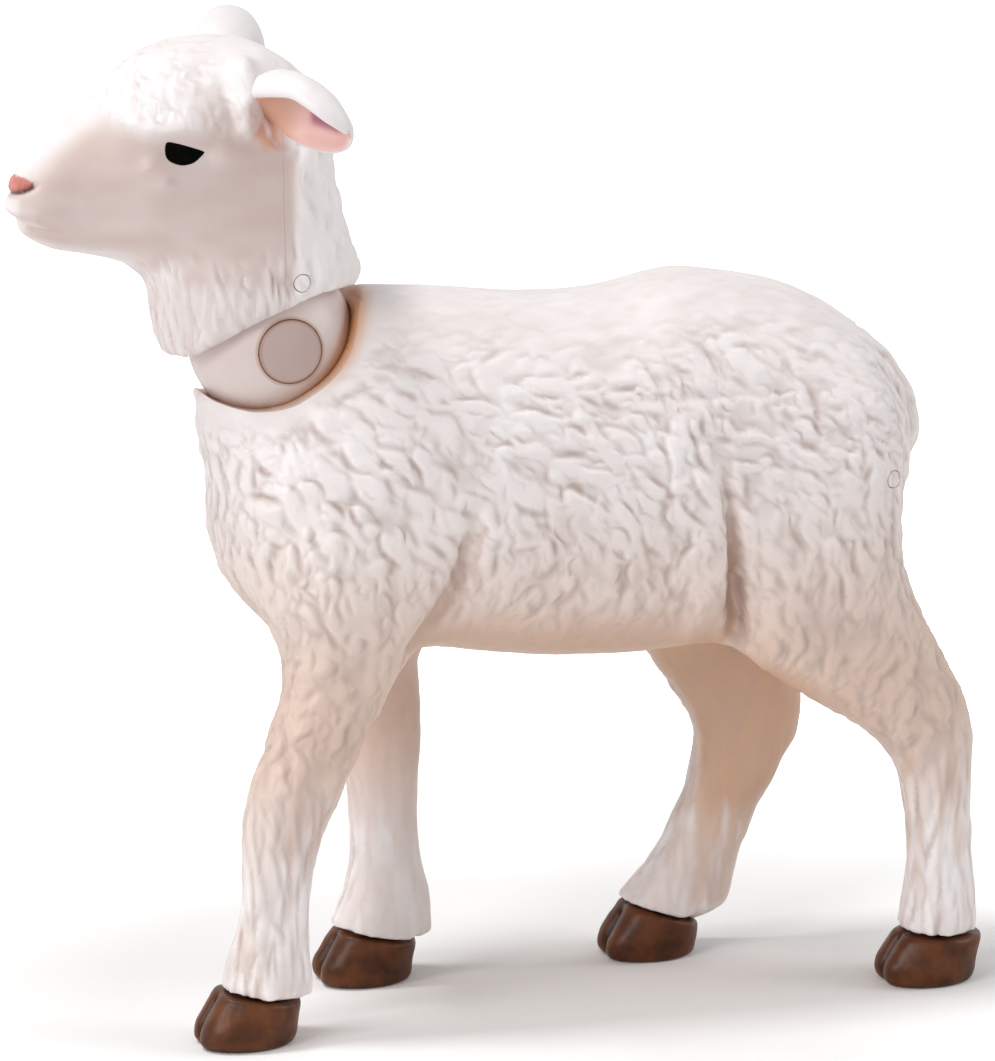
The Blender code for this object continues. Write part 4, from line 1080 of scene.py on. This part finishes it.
# %% Hooves
HOOF_VOXEL = 0.12 * MM
HOOF_PASSES = 26
PEG_RISE = 2.4
CLEFT_WIDTH = 0.26
CLEFT_DEPTH = 0.42
for leg_name in ("fore_left", "fore_right", "hind_left", "hind_right"):
    node = "hoof_" + leg_name
    hoof = weld(node + "_horn", [moved_copy(node)], HOOF_VOXEL)
    soften(hoof, HOOF_PASSES)
    points, normals = read_skin(hoof)
    low, high = (np.array(corner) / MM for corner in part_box(node))
    middle = (low + high) / 2
    front = fall(points[:, 0], middle[0] - 2.2, middle[0] - 0.9)
    cleft = np.exp(-(((points[:, 1] - middle[1]) / CLEFT_WIDTH) ** 2)) * front
    top = high[2] - PEG_RISE
    wall = ramp(points[:, 2], 0.1, 0.9) * (1.0 - ramp(points[:, 2], top - 0.9, top))
    relief = wall * (0.11 * lumps(points * (1.0, 1.0, 0.6), 1.5, 5) + 0.03 * lumps(points, 0.7, 6))
    relief -= CLEFT_DEPTH * cleft * wall
    points = points + normals * relief[:, None]
    points[:, 2] = np.maximum(points[:, 2], 0.0)
    write_points(hoof.data, points)
    # Painted shade, darker in the cleft and in the dents.
    paint(hoof, "recess_shade", np.clip(cleft * wall * 0.9 - relief * 2.0, 0.0, 1.0) * 0.8)
    finish_piece(hoof, "trunk", "hoof_pvc", hoof_enamel, node)

# %% [markdown]
# ## The head's skin
# The head is also two shells: the face and the nape, with the seam behind the ears. They are welded, filled
# where the ball, the eyes and the pin sit, and given a mound at each ear's root, so that the ears grow out of
# the wool. The skin is smoothed and sculpted as one, and cut apart at the seam.

# %% An ear's directions
# Ear name: its side, and its sweep to the rear and its lift in degrees.
EAR_TURNS = {"left": (-1, 33.0, -3.0), "right": (1, 23.0, 25.0)}
EAR_DROOP = math.radians(20.0)
# The mound at an ear's root: radius and height along the ear, in mm.
EAR_MOUND = ((2.4, -1.2), (2.35, 0.6), (2.1, 1.6), (1.5, 2.6), (0.7, 3.1))


def ear_frame(side, sweep, lift):
    """An ear's directions: along it, out of its hollow, and up."""
    sweep, lift = math.radians(sweep), math.radians(lift)
    level = Vector((math.sin(sweep), side * math.cos(sweep), 0.0))
    along = level * math.cos(lift) + Vector((0.0, 0.0, math.sin(lift)))
    ahead = Vector((-math.cos(sweep), side * math.sin(sweep), 0.0))
    above = along.cross(ahead) * side
    forward = ahead * math.cos(EAR_DROOP) - above * math.sin(EAR_DROOP)
    return along, forward, along.cross(forward) * side


def reach_of(node, direction):
    """The least and the most that a solid reaches in a direction."""
    values = [point.co @ direction for point in nodes[node].data.vertices]
    return min(values), max(values)


# %% Weld and smooth the head
HEAD_VOXEL = 0.125 * MM
HEAD_PASSES = 100
EYE_GROW = 1.3
seam_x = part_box("head_front")[1].x + SEAM_GAP / 2
closer = half_shift + 2 * HAIR
fillers = [globe("filler", socket_radius + HAIR)]
for word, ear_turns in EAR_TURNS.items():
    along = ear_frame(*ear_turns)[0]
    start = reach_of("ear_" + word, along)[0]
    ring = [point.co for point in nodes["ear_" + word].data.vertices if point.co @ along < start + HAIR]
    middle = sum(ring, Vector()) / len(ring)
    mound = [(radius * MM, height * MM) for radius, height in smooth_curve(EAR_MOUND, 4)]
    fillers.append(turned("mound", mound, middle, along, 48))
head_meshes = [
    moved_copy("head_front", (closer, 0.0, 0.0)),
    moved_copy("nape_cover", (-closer, 0.0, 0.0)),
    moved_copy("eye_left", (closer, 0.0, 0.0), EYE_GROW),
    moved_copy("eye_right", (closer, 0.0, 0.0), EYE_GROW),
    moved_copy("nape_pin", (-closer, 0.0, 0.0), PLUG_GROW),
    *(filler.data for filler in fillers),
]
head = weld("lamb_head", head_meshes, HEAD_VOXEL)
for filler in fillers:
    bpy.data.objects.remove(filler)
soften(head, HEAD_PASSES)
print(f"head skin: {len(head.data.vertices)} points")

# %% [markdown]
# ## The face
# The nose pad, nostril, lips, cheek and eye socket are pressed in as folds. They follow the photograph.

# %% Forms of the face
FACE_DEPTH = -3.5 * MM
NOSE_DEPTH = -1.5 * MM
EAR_PLANE = -5.5 * MM
MOUTH = ((8, 219, 1.0), (17, 224, 1.0), (32, 229, 0.6), (56, 232, 0.25))
NOSTRIL = ((2, 199, 1.0), (9, 198, 0.9), (16, 196, 0.8), (24, 192, 1.0), (32, 187, 1.0))
FACE_FOLDS = {
    "eye socket": (((166, 152), (182, 155), (200, 153)), 0.95, -0.30),
    "eye brow": (((148, 131, 0.6), (178, 128, 1.0), (214, 134, 0.7)), 0.6, 0.24),
    "cheek spot": (((148, 166), (160, 176)), 0.6, 0.22),
    "cheek bone": (((110, 186, 0.5), (150, 194, 1.0), (195, 186, 0.8)), 1.4, 0.16),
    "muzzle side": (((50, 195, 0.6), (80, 200, 1.0), (110, 205, 0.5)), 1.5, -0.18),
    "jaw line": (((120, 262), (160, 264), (205, 254)), 0.9, -0.14),
    "face ridge": (((52, 150, 0.4), (90, 130, 1.0), (118, 128, 0.5)), 0.8, 0.10),
    "cap edge": (((96, 104), (120, 118), (146, 126)), 0.5, 0.14),
}
EAR_FOLDS = {
    "ear brow": (((246, 74, 0.7), (266, 68, 1.0), (292, 72, 1.0), (306, 82, 0.5)), 1.2, 0.7),
    "sideburn": (((246, 78, 1.0), (250, 92, 1.0), (247, 108, 0.7), (247, 128, 0.4)), 0.6, 1.0),
    "sideburn groove": (((226, 92, 0.5), (234, 112, 1.0), (239, 130, 0.4)), 0.35, -0.20),
}
NOSE_FOLDS = {
    "mouth": (MOUTH, 0.28, -0.30),
    "upper lip": (((6, 210), (20, 213), (34, 217)), 0.35, 0.14),
    "nostril": (NOSTRIL, 0.20, -0.30),
    "nose top": (((10, 175), (18, 177), (27, 180), (35, 184)), 0.22, -0.10),
}
EAR_HOLLOW = ((268, 104), (276, 98), (320, 100), (320, 142), (300, 146), (278, 146), (269, 136))
HOLLOW_DEPTH = 0.25
print(f"{len(FACE_FOLDS) + len(EAR_FOLDS) + len(NOSE_FOLDS)} folds drawn")

# %% Sculpt the face
head_points, head_normals = read_skin(head)
shape = folds(head_points, FACE_FOLDS, FACE_DEPTH)
shape = ramp(np.abs(head_normals[:, 1]), 0.1, 0.5) * folds(head_points, EAR_FOLDS, EAR_PLANE, shape)
muzzle = ramp(-head_points[:, 0], 26.0, 29.0)
shape += muzzle * folds(head_points, NOSE_FOLDS, NOSE_DEPTH)
shape += 0.03 * lumps(head_points * (0.45, 1.0, 1.0), 1.3, 12)
ear_hollow = zone(head_points, EAR_HOLLOW, 0.35, EAR_PLANE) * ramp(np.abs(head_normals[:, 1]), 0.1, 0.4)
shape -= HOLLOW_DEPTH * ear_hollow
raise_skin(head, head_points, head_normals, shape)
print(f"face relief from {shape.min():.2f} to {shape.max():.2f} mm")

# %% [markdown]
# ## Wool of the head
# A cap of soft low curls covers the crown down to the brow and the ears. Long tufts hang down the nape, fine
# strands down the throat, and the face stays smooth.

# %% Where the head is woolly
CAP = ((84, 98), (104, 108), (126, 126), (150, 130), (178, 118), (214, 126), (246, 132), (262, 150),
       (300, 150), (420, 150), (420, -60), (40, -60))
CURLS = ((92, 104), (112, 74), (150, 58), (205, 62), (238, 90), (240, 134), (214, 130), (178, 122),
         (150, 134), (126, 130))
SMOOTH_EAR = ((238, 20), (330, 20), (352, 150), (262, 150), (248, 100))
NAPE = ((290, 140), (420, 140), (420, 330), (282, 330))
THROAT = ((140, 272), (180, 256), (230, 262), (292, 240), (292, 330), (200, 390), (140, 370))
head_points, head_normals = read_skin(head)
x, y, z = head_points.T
normal_x, normal_y, normal_z = head_normals.T
cap = zone(head_points, CAP, 0.9, FACE_DEPTH) * (1.0 - ear_hollow)
nape = zone(head_points, NAPE, 0.3, FACE_DEPTH)
throat = zone(head_points, THROAT, 0.9, FACE_DEPTH) * (1.0 - nape)
cap = cap * (1.0 - nape)
curly = cap * (0.35 + 0.65 * zone(head_points, CURLS, 1.2, FACE_DEPTH))
curly *= 1.0 - 0.75 * zone(head_points, SMOOTH_EAR, 1.0, EAR_PLANE)
print(f"{np.mean(curly > 0.5):.0%} of the head's points are curly")

# %% Comb the head
CURL = (1.5, 0.36, 0.11, 0.05, 1.1)
NAPE_TUFT = (3.4, 0.62, 0.26, 0.04, 0.2)
THROAT_STRAND = (2.8, 0.34, 0.14, 0.02, 0.1)
cloth = (head_points, head_normals, tree_of(head_points))
seeds = scatter(head_points, 0.85)
coarse = scatter(head_points, 1.3)
falling = np.tile((0.45, 0.0, -1.0), (len(head_points), 1))
upright = np.tile((0.12, 0.0, -1.0), (len(head_points), 1))
kept = random.random(len(seeds)) < 0.7
curls = comb(*cloth, seeds[(cap[seeds] > 0.2) & kept], falling, CURL)
tufts = comb(*cloth, coarse[nape[coarse] > 0.4], upright, NAPE_TUFT)
hairs = comb(*cloth, seeds[(throat[seeds] > 0.2) & kept], 2.0 * upright, THROAT_STRAND)
ridge = curly * curls[0] + nape * tufts[0] + throat * hairs[0]
groove = curly * curls[1] + nape * tufts[1] + throat * hairs[1]
relief = ridge - 0.5 * groove + cap * (0.10 * lumps(head_points, 1.7, 8) + 0.05 * lumps(head_points, 0.9, 10))
relief += 0.10 * nape * lumps(head_points * (1.0, 1.0, 0.5), 1.3, 11)
sole = np.linalg.norm(head_points - neck_mm, axis=1)
relief *= 1.0 - 0.55 * fall(sole, 6.4, 7.2)
raise_skin(head, head_points, head_normals, relief)
print(f"{len(seeds)} head locks, relief to {relief.max():.2f} mm")

# %% [markdown]
# ## Paint marks of the head
# The nose is a dab of pink and the nostril a thin dark line. Painted shade darkens the face, the cheek, the
# brow, the mouth's corner, the throat and the roots of the ears, and leaves the crests of the locks paler.
# Outlines drawn on the photograph say where each paint lies, and how soft its edge is.

# %% Outlines of the head's paints
NOSE_PAD = ((-12, 176), (12, 176), (18, 177), (27, 180), (34, 184), (32, 189), (24, 193), (14, 197), (4, 201),
            (-12, 203))
SHADE = ((34, 199), (60, 196), (118, 194), (140, 176), (165, 166), (205, 160), (225, 140), (290, 140),
         (290, 285), (150, 285), (100, 262), (20, 245), (16, 208))
FACE = ((36, 186), (60, 158), (88, 134), (108, 122), (146, 136), (180, 124), (244, 134), (290, 150),
        (290, 285), (140, 285), (100, 262), (20, 245), (10, 205))
# Where tan painted shade lies on the head, under the ear's hollow at its root.
EAR_ROOT_SHADE = ((251, 104), (258, 98), (330, 98), (336, 146), (300, 150), (264, 149), (252, 136))
BROW_SHADE = ((196, 92), (226, 84), (232, 112), (238, 136), (214, 134), (198, 124))
CHEEK_SHADE = ((190, 175), (285, 150), (285, 262), (200, 258))
nose_tip = ramp(-x, 29.0, 30.0)
nose = zone(head_points, NOSE_PAD, 0.07, NOSE_DEPTH) * nose_tip
lips = fold(head_points, NOSTRIL, 0.15, 1.0, NOSE_DEPTH) * nose_tip
mouth = fold(head_points, MOUTH, 0.22, 0.25, NOSE_DEPTH) * muzzle
shade = zone(head_points, SHADE, 0.7, FACE_DEPTH)
face = zone(head_points, FACE, 0.8, FACE_DEPTH)
brow_shade = zone(head_points, BROW_SHADE, 0.6, EAR_PLANE)
cheek = zone(head_points, CHEEK_SHADE, 1.8, FACE_DEPTH)
print(f"{np.count_nonzero(nose > 0.5)} points carry the nose's pink")

# %% Mark and thin the head
HEAD_TRIANGLES = 170000
# Painted shade: over the face where it faces forwards, the lower face, the cheek, the brow, the mouth's
# corner, the throat, the underside and the ears' roots; the crests, the throat's strands and the nape are
# left paler, and the face gets faint random tone.
sideways = ramp(np.abs(normal_y), 0.2, 0.8)
level = fall(np.abs(normal_z), 0.55, 0.97) * ramp(normal_x, -0.97, -0.65)
wash_and_shade = 0.05 + 0.42 * face * level + (0.16 * shade + 0.10 * cheek + 0.30 * brow_shade) * sideways + mouth
wash_and_shade += 0.40 * throat * (1.0 - face) + 0.15 * ramp(-normal_z, 0.2, 0.8)
wash_and_shade -= 1.8 * ridge * (throat + 0.5 * curly) + 0.3 * nape
wash_and_shade += 0.08 * face * lumps(head_points * (0.4, 1.0, 1.0), 0.9, 15)
wash_and_shade += 0.28 * face * (1.0 - shade) * ramp(-x, 20.0, 25.0)
# Tan painted shade on the head where the ear's hollow meets it.
ear_root_shade = zone(head_points, EAR_ROOT_SHADE, 0.6, EAR_PLANE) * ramp(np.abs(y), 2.6, 3.4)
ear_root_shade *= fall(normal_x, 0.3, 0.6) * ramp(-x, 15.4, 16.8)
ear_root_shade *= np.where(y > 0.0, ramp(z, 60.2, 61.6), 1.0)
ear_root = fall(np.abs(x + 19.5), 1.0, 2.6)
ear_root *= fall(np.abs(z - 60.5), 0.8, 2.2)
head_marks = {
    "recess_shade": np.clip(groove * (4.5 - 2.0 * nape) - ridge * 3.0 + 0.04, 0.0, 1.0) * (0.8 - 0.35 * nape),
    "wash_and_shade": np.clip(wash_and_shade + 0.25 * ear_root, 0.0, 1.0),
    "nose": nose,
    "lips": lips,
    "ear_hollow": np.clip(ear_root_shade, 0.0, 0.9),
}
head_source = read_points(head.data)
thin_out(head, HEAD_TRIANGLES)
print(f"{len(head.data.polygons)} faces left")

# %% [markdown]
# ## Cutting the head
# The eyes are flat black almonds, modelled as inlays. Each is cut from the finished face, so it lies flush.
# Then the head is sawn at the seam behind the ears, and its skirt and socket are cut.

# %% Eyes
# Black enamel that hardly shines
eye_enamel = painted_plastic("eye_black_enamel", "#050404", 0.6, ("#030303", "#0C0A09", 0.8), specular=0.02)
EYE_OUTLINE = ((163.5, 150), (164, 143), (167, 141), (174, 142), (186, 145), (200, 149.5), (200, 152.5),
               (194, 159), (188, 162.5), (179, 164), (170, 161.5), (165, 157))
EYE_DEPTH = 1.1 * MM
EYE_PROUD = 0.02 * MM
eye_low, eye_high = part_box("eye_left")
outline = [photo_point(pixel, (eye_low.y + eye_high.y) / 2) for pixel in EYE_OUTLINE]
outline = smooth_curve([*outline, outline[0]], 4)[:-1]
outline = [(x * MM + half_shift, z * MM) for x, z in outline]
for word, side in (("left", -1), ("right", 1)):
    ends = sorted((side * (abs(eye_low.y) - EYE_DEPTH), side * FAR_AWAY))
    almond = prism("almond", outline, *ends)
    eye = place_object(f"eye_{word}_enamel", head.data.copy())
    boolean(eye, almond, "INTERSECT", keep_cutter=True)
    boolean(head, almond)
    eye.data.transform(Matrix.Translation((-half_shift, side * EYE_PROUD, 0.0)))
    finish_piece(eye, "head", "eye_black", eye_enamel, "eye_" + word)

# %% Split the head
BORE_RADIUS = 2.5 * MM
BORE_TOP = 7.6 * MM
nape_pin = pin_in_skin("nape_pin_end", head, "nape_pin")
nape_half = place_object("nape_cover_fleece", head.data.copy())
head.name = "head_front_face"
boolean(head, block("behind", Vector((seam_x - HAIRLINE, -FAR_AWAY, -FAR_AWAY)), WHOLE))
boolean(nape_half, block("before", -WHOLE, Vector((seam_x + HAIRLINE, FAR_AWAY, FAR_AWAY))))
shelf = math.pi / 2 - math.asin(BORE_RADIUS / socket_radius)
socket_profile = ball_profile(socket_radius, high=shelf) + [(BORE_RADIUS, BORE_TOP)]
for half in (head, nape_half):
    open_seam(half, 0, seam_x)
    boolean(half, rim_cutter("under_skirt", SKIRT_RIM_SHARES, RIM_TRIM, False))
    boolean(half, turned("head_socket", socket_profile, ball_centre, neck_axis))
open_seam(nape_pin, 0, seam_x)
for piece in (head, nape_half, nape_pin):
    carry(head_marks, head_source, piece)
finish_piece(head, "head", "face_pvc", face_pvc, "head_front")
# The nape's wool wears the face's material, which knows the marks that the head carries.
finish_piece(nape_half, "head", "fleece_pvc", face_pvc, "nape_cover")
finish_piece(nape_pin, "head", "fleece_pvc", face_pvc, "nape_pin")

# %% [markdown]
# ## Ears
# Each ear is a soft leaf that is folded over like a hood. The hollow opens downwards and forwards, so from
# the side only its pink lower half shows. The ear is laid over sections from its root to its tip, and each
# section runs out along the back and home along the hollow.

# %% The form of a folded ear
# Place along the ear, height and depth there, as shares.
EAR_SHARES = (
    (-0.22, 0.26, 0.30), (-0.06, 0.44, 0.46), (0.10, 0.68, 0.72), (0.25, 0.88, 0.90), (0.40, 0.98, 1.00),
    (0.54, 0.99, 0.98), (0.68, 0.93, 0.92), (0.82, 0.77, 0.78), (0.92, 0.54, 0.56), (0.98, 0.30, 0.32),
    (1.00, 0.14, 0.14),
)
# Where the hood's rim lies: place along the ear, angle above the hollow in degrees.
HOOD_RIM = ((-0.16, 30.0), (0.20, 32.0), (0.40, 36.0), (0.60, 44.0), (0.80, 36.0), (0.92, 26.0), (1.00, 15.0))
BACK_EDGE = 262.0
EAR_LENGTH_SHARE = 1.34
EAR_WALL_SHARE = 0.11
THINNEST_SHARE = 0.25
SECTION_POINTS = 40


# %% Lay the ear over its sections


def arc(tall, deep, angles):
    """Points of an oval arc, as height and depth."""
    return np.stack([tall * np.sin(angles), deep * np.cos(angles)], axis=1)


def hooded_ear(name, node, along, forward, up, tip_drop, shut, widen):
    """A hooded cup, and for each of its points the place along it, the angle and whether it is inside."""
    tip = reach_of(node, along)[1]
    low, high = reach_of(node, up)
    near_side, far_side = reach_of(node, forward)
    tall, deep = (high - low) / 2, (far_side - near_side) / 2 * widen
    length = 2 * tall * EAR_LENGTH_SHARE
    root = along * (tip - length) + up * (low + high) / 2 + forward * (near_side + far_side) / 2
    wall = 2 * tall * EAR_WALL_SHARE
    step = np.linspace(0.0, 1.0, SECTION_POINTS)[:, None]
    rings, marks = [], []
    for share, high_share, deep_share in smooth_curve(EAR_SHARES, 5):
        centre = root + along * length * share - up * length * tip_drop * max(share, 0.0) ** 2
        angles = np.radians(np.linspace(np.interp(share, *zip(*HOOD_RIM)) - shut, BACK_EDGE, SECTION_POINTS))
        outer = (tall * high_share, deep * deep_share)
        inner_sizes = (max(size - wall, THINNEST_SHARE * size) for size in outer)
        outside, inside = arc(*outer, angles), arc(*inner_sizes, angles)[::-1]
        # The hollow is filled at the root and at the tip, where the lining runs straight.
        chord = inside[0] + (inside[-1] - inside[0]) * step
        filled = 1.0 - float(ramp(np.array(share), 0.10, 0.42)) + 0.4 * float(ramp(np.array(share), 0.9, 1.0))
        inside = inside + (chord - inside) * min(filled, 1.0)
        rings.append([centre + up * u + forward * f for u, f in np.concatenate([outside, inside])])
        marks += [(share, angle, 0.0) for angle in angles] + [(share, angle, 1.0) for angle in angles[::-1]]
    return loft(name, rings), np.array(marks)


# %% Both ears
# Ear name: its tip's drop as a share of its length, its hood's turn shut in degrees, its growth in depth.
EAR_FORMS = {"left": (0.13, 0.0, 1.0), "right": (0.0, 50.0, 1.25)}
EAR_PASSES = 4
for word, ear_turns in EAR_TURNS.items():
    node = "ear_" + word
    ear, ear_marks = hooded_ear(node + "_hood", node, *ear_frame(*ear_turns), *EAR_FORMS[word])
    share, angle, inside = ear_marks.T
    points = relax(ear.data, read_points(ear.data), EAR_PASSES)
    write_points(ear.data, points)
    relief = (1.0 - inside) * (0.06 * lumps(points, 1.6, 13) + 0.03 * lumps(points, 0.7, 14))
    raise_skin(ear, points, read_normals(ear.data), relief)
    under_hood = fall(angle, math.radians(204.0), math.radians(222.0))
    middle = ramp(share, 0.42, 0.50) * (1.0 - ramp(share, 0.76, 0.88))
    # Painted shade inside: tan deep in the hollow by the root, and mauve under the hood; the pink inside and
    # the white outside are the ear's own colours.
    paint(ear, "outside", 1.0 - inside)
    paint(ear, "hollow", inside * (1.0 - ramp(share, 0.20, 0.40)))
    paint(ear, "mauve", inside * under_hood * middle * 0.9)
    finish_piece(ear, "head", "ear_pvc", ear_pvc, node)

# %% [markdown]
# ## The neck ball and its pin
# The ball and its pin are read as hard ABS, smooth and unpainted, so that they turn freely. It refracts
# nearly as PVC does, and its shine is satin. The ball is turned, and its well, bore and slot are cut. The
# slot is cut at several nods, because the ball rocks on the lug, which stands still. Brown in the narrow
# ring between the pin and the ball, and on the ball at the back of the body's rim, is painted shade of the
# gaps, mixed with some brown wash from the neighbouring paint.

# %% Wash round the pin


def ring_shade_wash(start, end, amount):
    """Where painted shade of the gap round the pin, with some brown wash, thickens between two distances from
    the pin's axis, at the pin's round end alone.
    """
    def where(tree):
        place = add(tree, "ShaderNodeTexCoord").outputs["Object"]
        offset = add(tree, "ShaderNodeVectorMath", {0: place, 1: ball_centre}, operation="SUBTRACT")
        offset = offset.outputs[0]
        flat = add(tree, "ShaderNodeVectorMath", {0: offset, 1: (1.0, 0.0, 1.0)}, operation="MULTIPLY")
        away = add(tree, "ShaderNodeVectorMath", {0: flat.outputs[0]}, operation="LENGTH").outputs["Value"]
        ring = add(tree, "ShaderNodeMapRange", {0: away, 1: start, 2: end, 3: 0.0, 4: amount}).outputs[0]
        height = add(tree, "ShaderNodeSeparateXYZ", {0: offset}).outputs["Y"]
        near_end = add(tree, "ShaderNodeMapRange", {0: height, 1: 0.0, 2: -1.0 * MM}).outputs[0]
        return maths(tree, "MULTIPLY", ring, near_end)
    return where


# %% Neck ball
PEG_RADIUS = 2.3 * MM
PEG_HEIGHT = 7.4 * MM
DISC_LENGTH = 1.3 * MM
WELL_GAP = 0.05 * MM
SHANK_RADIUS = 1.15 * MM
FIT = 0.15 * MM
SLOT_CUTS = 5
pin_low, pin_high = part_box("neck_pin")
disc_radius = (pin_high.z - pin_low.z) / 2
disc_face = abs(pin_low.y)
disc_back = disc_face - DISC_LENGTH
shelf = math.pi / 2 - math.asin(PEG_RADIUS / ball_radius)
profile = ball_profile(ball_radius, high=shelf) + [(PEG_RADIUS, PEG_HEIGHT)]
ball = turned("neck_ball_turned", profile, ball_centre, neck_axis, 192)
well = disc_radius + WELL_GAP
boolean(ball, rod("well", well, ball_centre, high=-(disc_back - FIT), count=96))
boolean(ball, rod("bore", SHANK_RADIUS + FIT, ball_centre, count=64))
eye_radius = lug_high.z - ball_centre.z
slot_low = Vector((ball_centre.x - eye_radius, lug_low.y, ball_centre.z - 2 * ball_radius)) - room
slot_high = Vector((ball_centre.x + eye_radius, lug_high.y, lug_high.z)) + room
to_centre = Matrix.Translation(ball_centre)
for nod in np.linspace(*joints["neck_nod"]["range_deg"], SLOT_CUTS):
    slot = block("slot", slot_low, slot_high)
    slot.data.transform(to_centre @ Matrix.Rotation(math.radians(nod), 4, "Y") @ to_centre.inverted())
    boolean(ball, slot)
print(f"pin's disc {disc_radius / MM:.2f} mm in radius, slot cut at {SLOT_CUTS} nods")

# %% Paint the neck ball
# Hard ABS with painted shade, mixed with some brown wash, in the gap behind it at the body's rim and in the
# ring and the well round the pin
neck_abs = painted_plastic(
    "neck_moulded_abs", "#DDCDC9", 0.38, ("#DFD0CC", "#D7C6C2", 5.0),
    (("#A5714A", ring_shade_wash(disc_radius + 0.30 * MM, disc_radius + 0.03 * MM, 0.7)),
     ("#CE9A6C", "rim"), ("#8C5A38", "well")))
# Painted shade with some brown wash: in the pin's well, and on the ball near the body's rim at the back.
centres = np.array([face.center for face in ball.data.polygons]) - np.array(ball_centre)
from_axis = np.hypot(centres[:, 0], centres[:, 2])
paint(ball, "well", (from_axis < well + HAIR) & (centres[:, 1] < -disc_face / 2), "FACE")
points = read_points(ball.data)
rim = np.array(rim_line(SADDLE_RIM_SHARES, 0.0)) / MM
gap = np.min(np.hypot(points[:, :1] - rim[:, 0], points[:, 2:] - rim[:, 1]), axis=1)
paint(ball, "rim", 0.6 * fall(gap, 0.1, 0.9) * ramp(points[:, 0] - neck_mm[0], -1.0, 3.5))
finish_piece(ball, "neck", "neck_abs", neck_abs, "neck_ball")

# %% [markdown]
# ## The neck pin
# The round end in the photograph is the head of a pin that holds the ball on the lug. It is a flat disc on a
# thin shank, so it is turned like the ball, from a profile with a worn edge. It is a little darker.

# %% Neck pin
DISC_EDGE = 0.12 * MM
# Mauve-grey ABS with painted shade, mixed with some brown wash, at the disc's edge
pin_abs = painted_plastic("pin_moulded_abs", "#C0A8A2", 0.42, ("#C2ABA5", "#B9A29C", 2.5),
                          (("#9A6A4C", ring_shade_wash(disc_radius - 0.22 * MM, disc_radius, 0.75)),))
profile = [
    (disc_radius - DISC_EDGE, -disc_face), (disc_radius - DISC_EDGE * 0.3, -disc_face + DISC_EDGE * 0.3),
    (disc_radius, -disc_face + DISC_EDGE), (disc_radius, -disc_back),
    (SHANK_RADIUS, -disc_back), (SHANK_RADIUS, pin_high.y),
]
pin = turned("neck_pin_turned", profile, ball_centre, across, 96)
finish_piece(pin, "neck", "pin_abs", pin_abs, "neck_pin")

# %% [markdown]
# ## The lug
# The lug carries the ball from inside the body. It keeps its solid, and only gets its plastic.

# %% Lug
# Plain grey-white ABS that nobody sees
lug_abs = painted_plastic("lug_moulded_abs", "#E0D8D2", 0.4, ("#E2DAD4", "#D6CCC4", 2.0))
lug = nodes["neck_lug"]
if not lug.material_slots:
    lug.data.materials.append(lug_abs)
for place in lug.material_slots:
    place.material = lug_abs
print(f"{lug.name}: {len(lug.data.polygons)} faces")
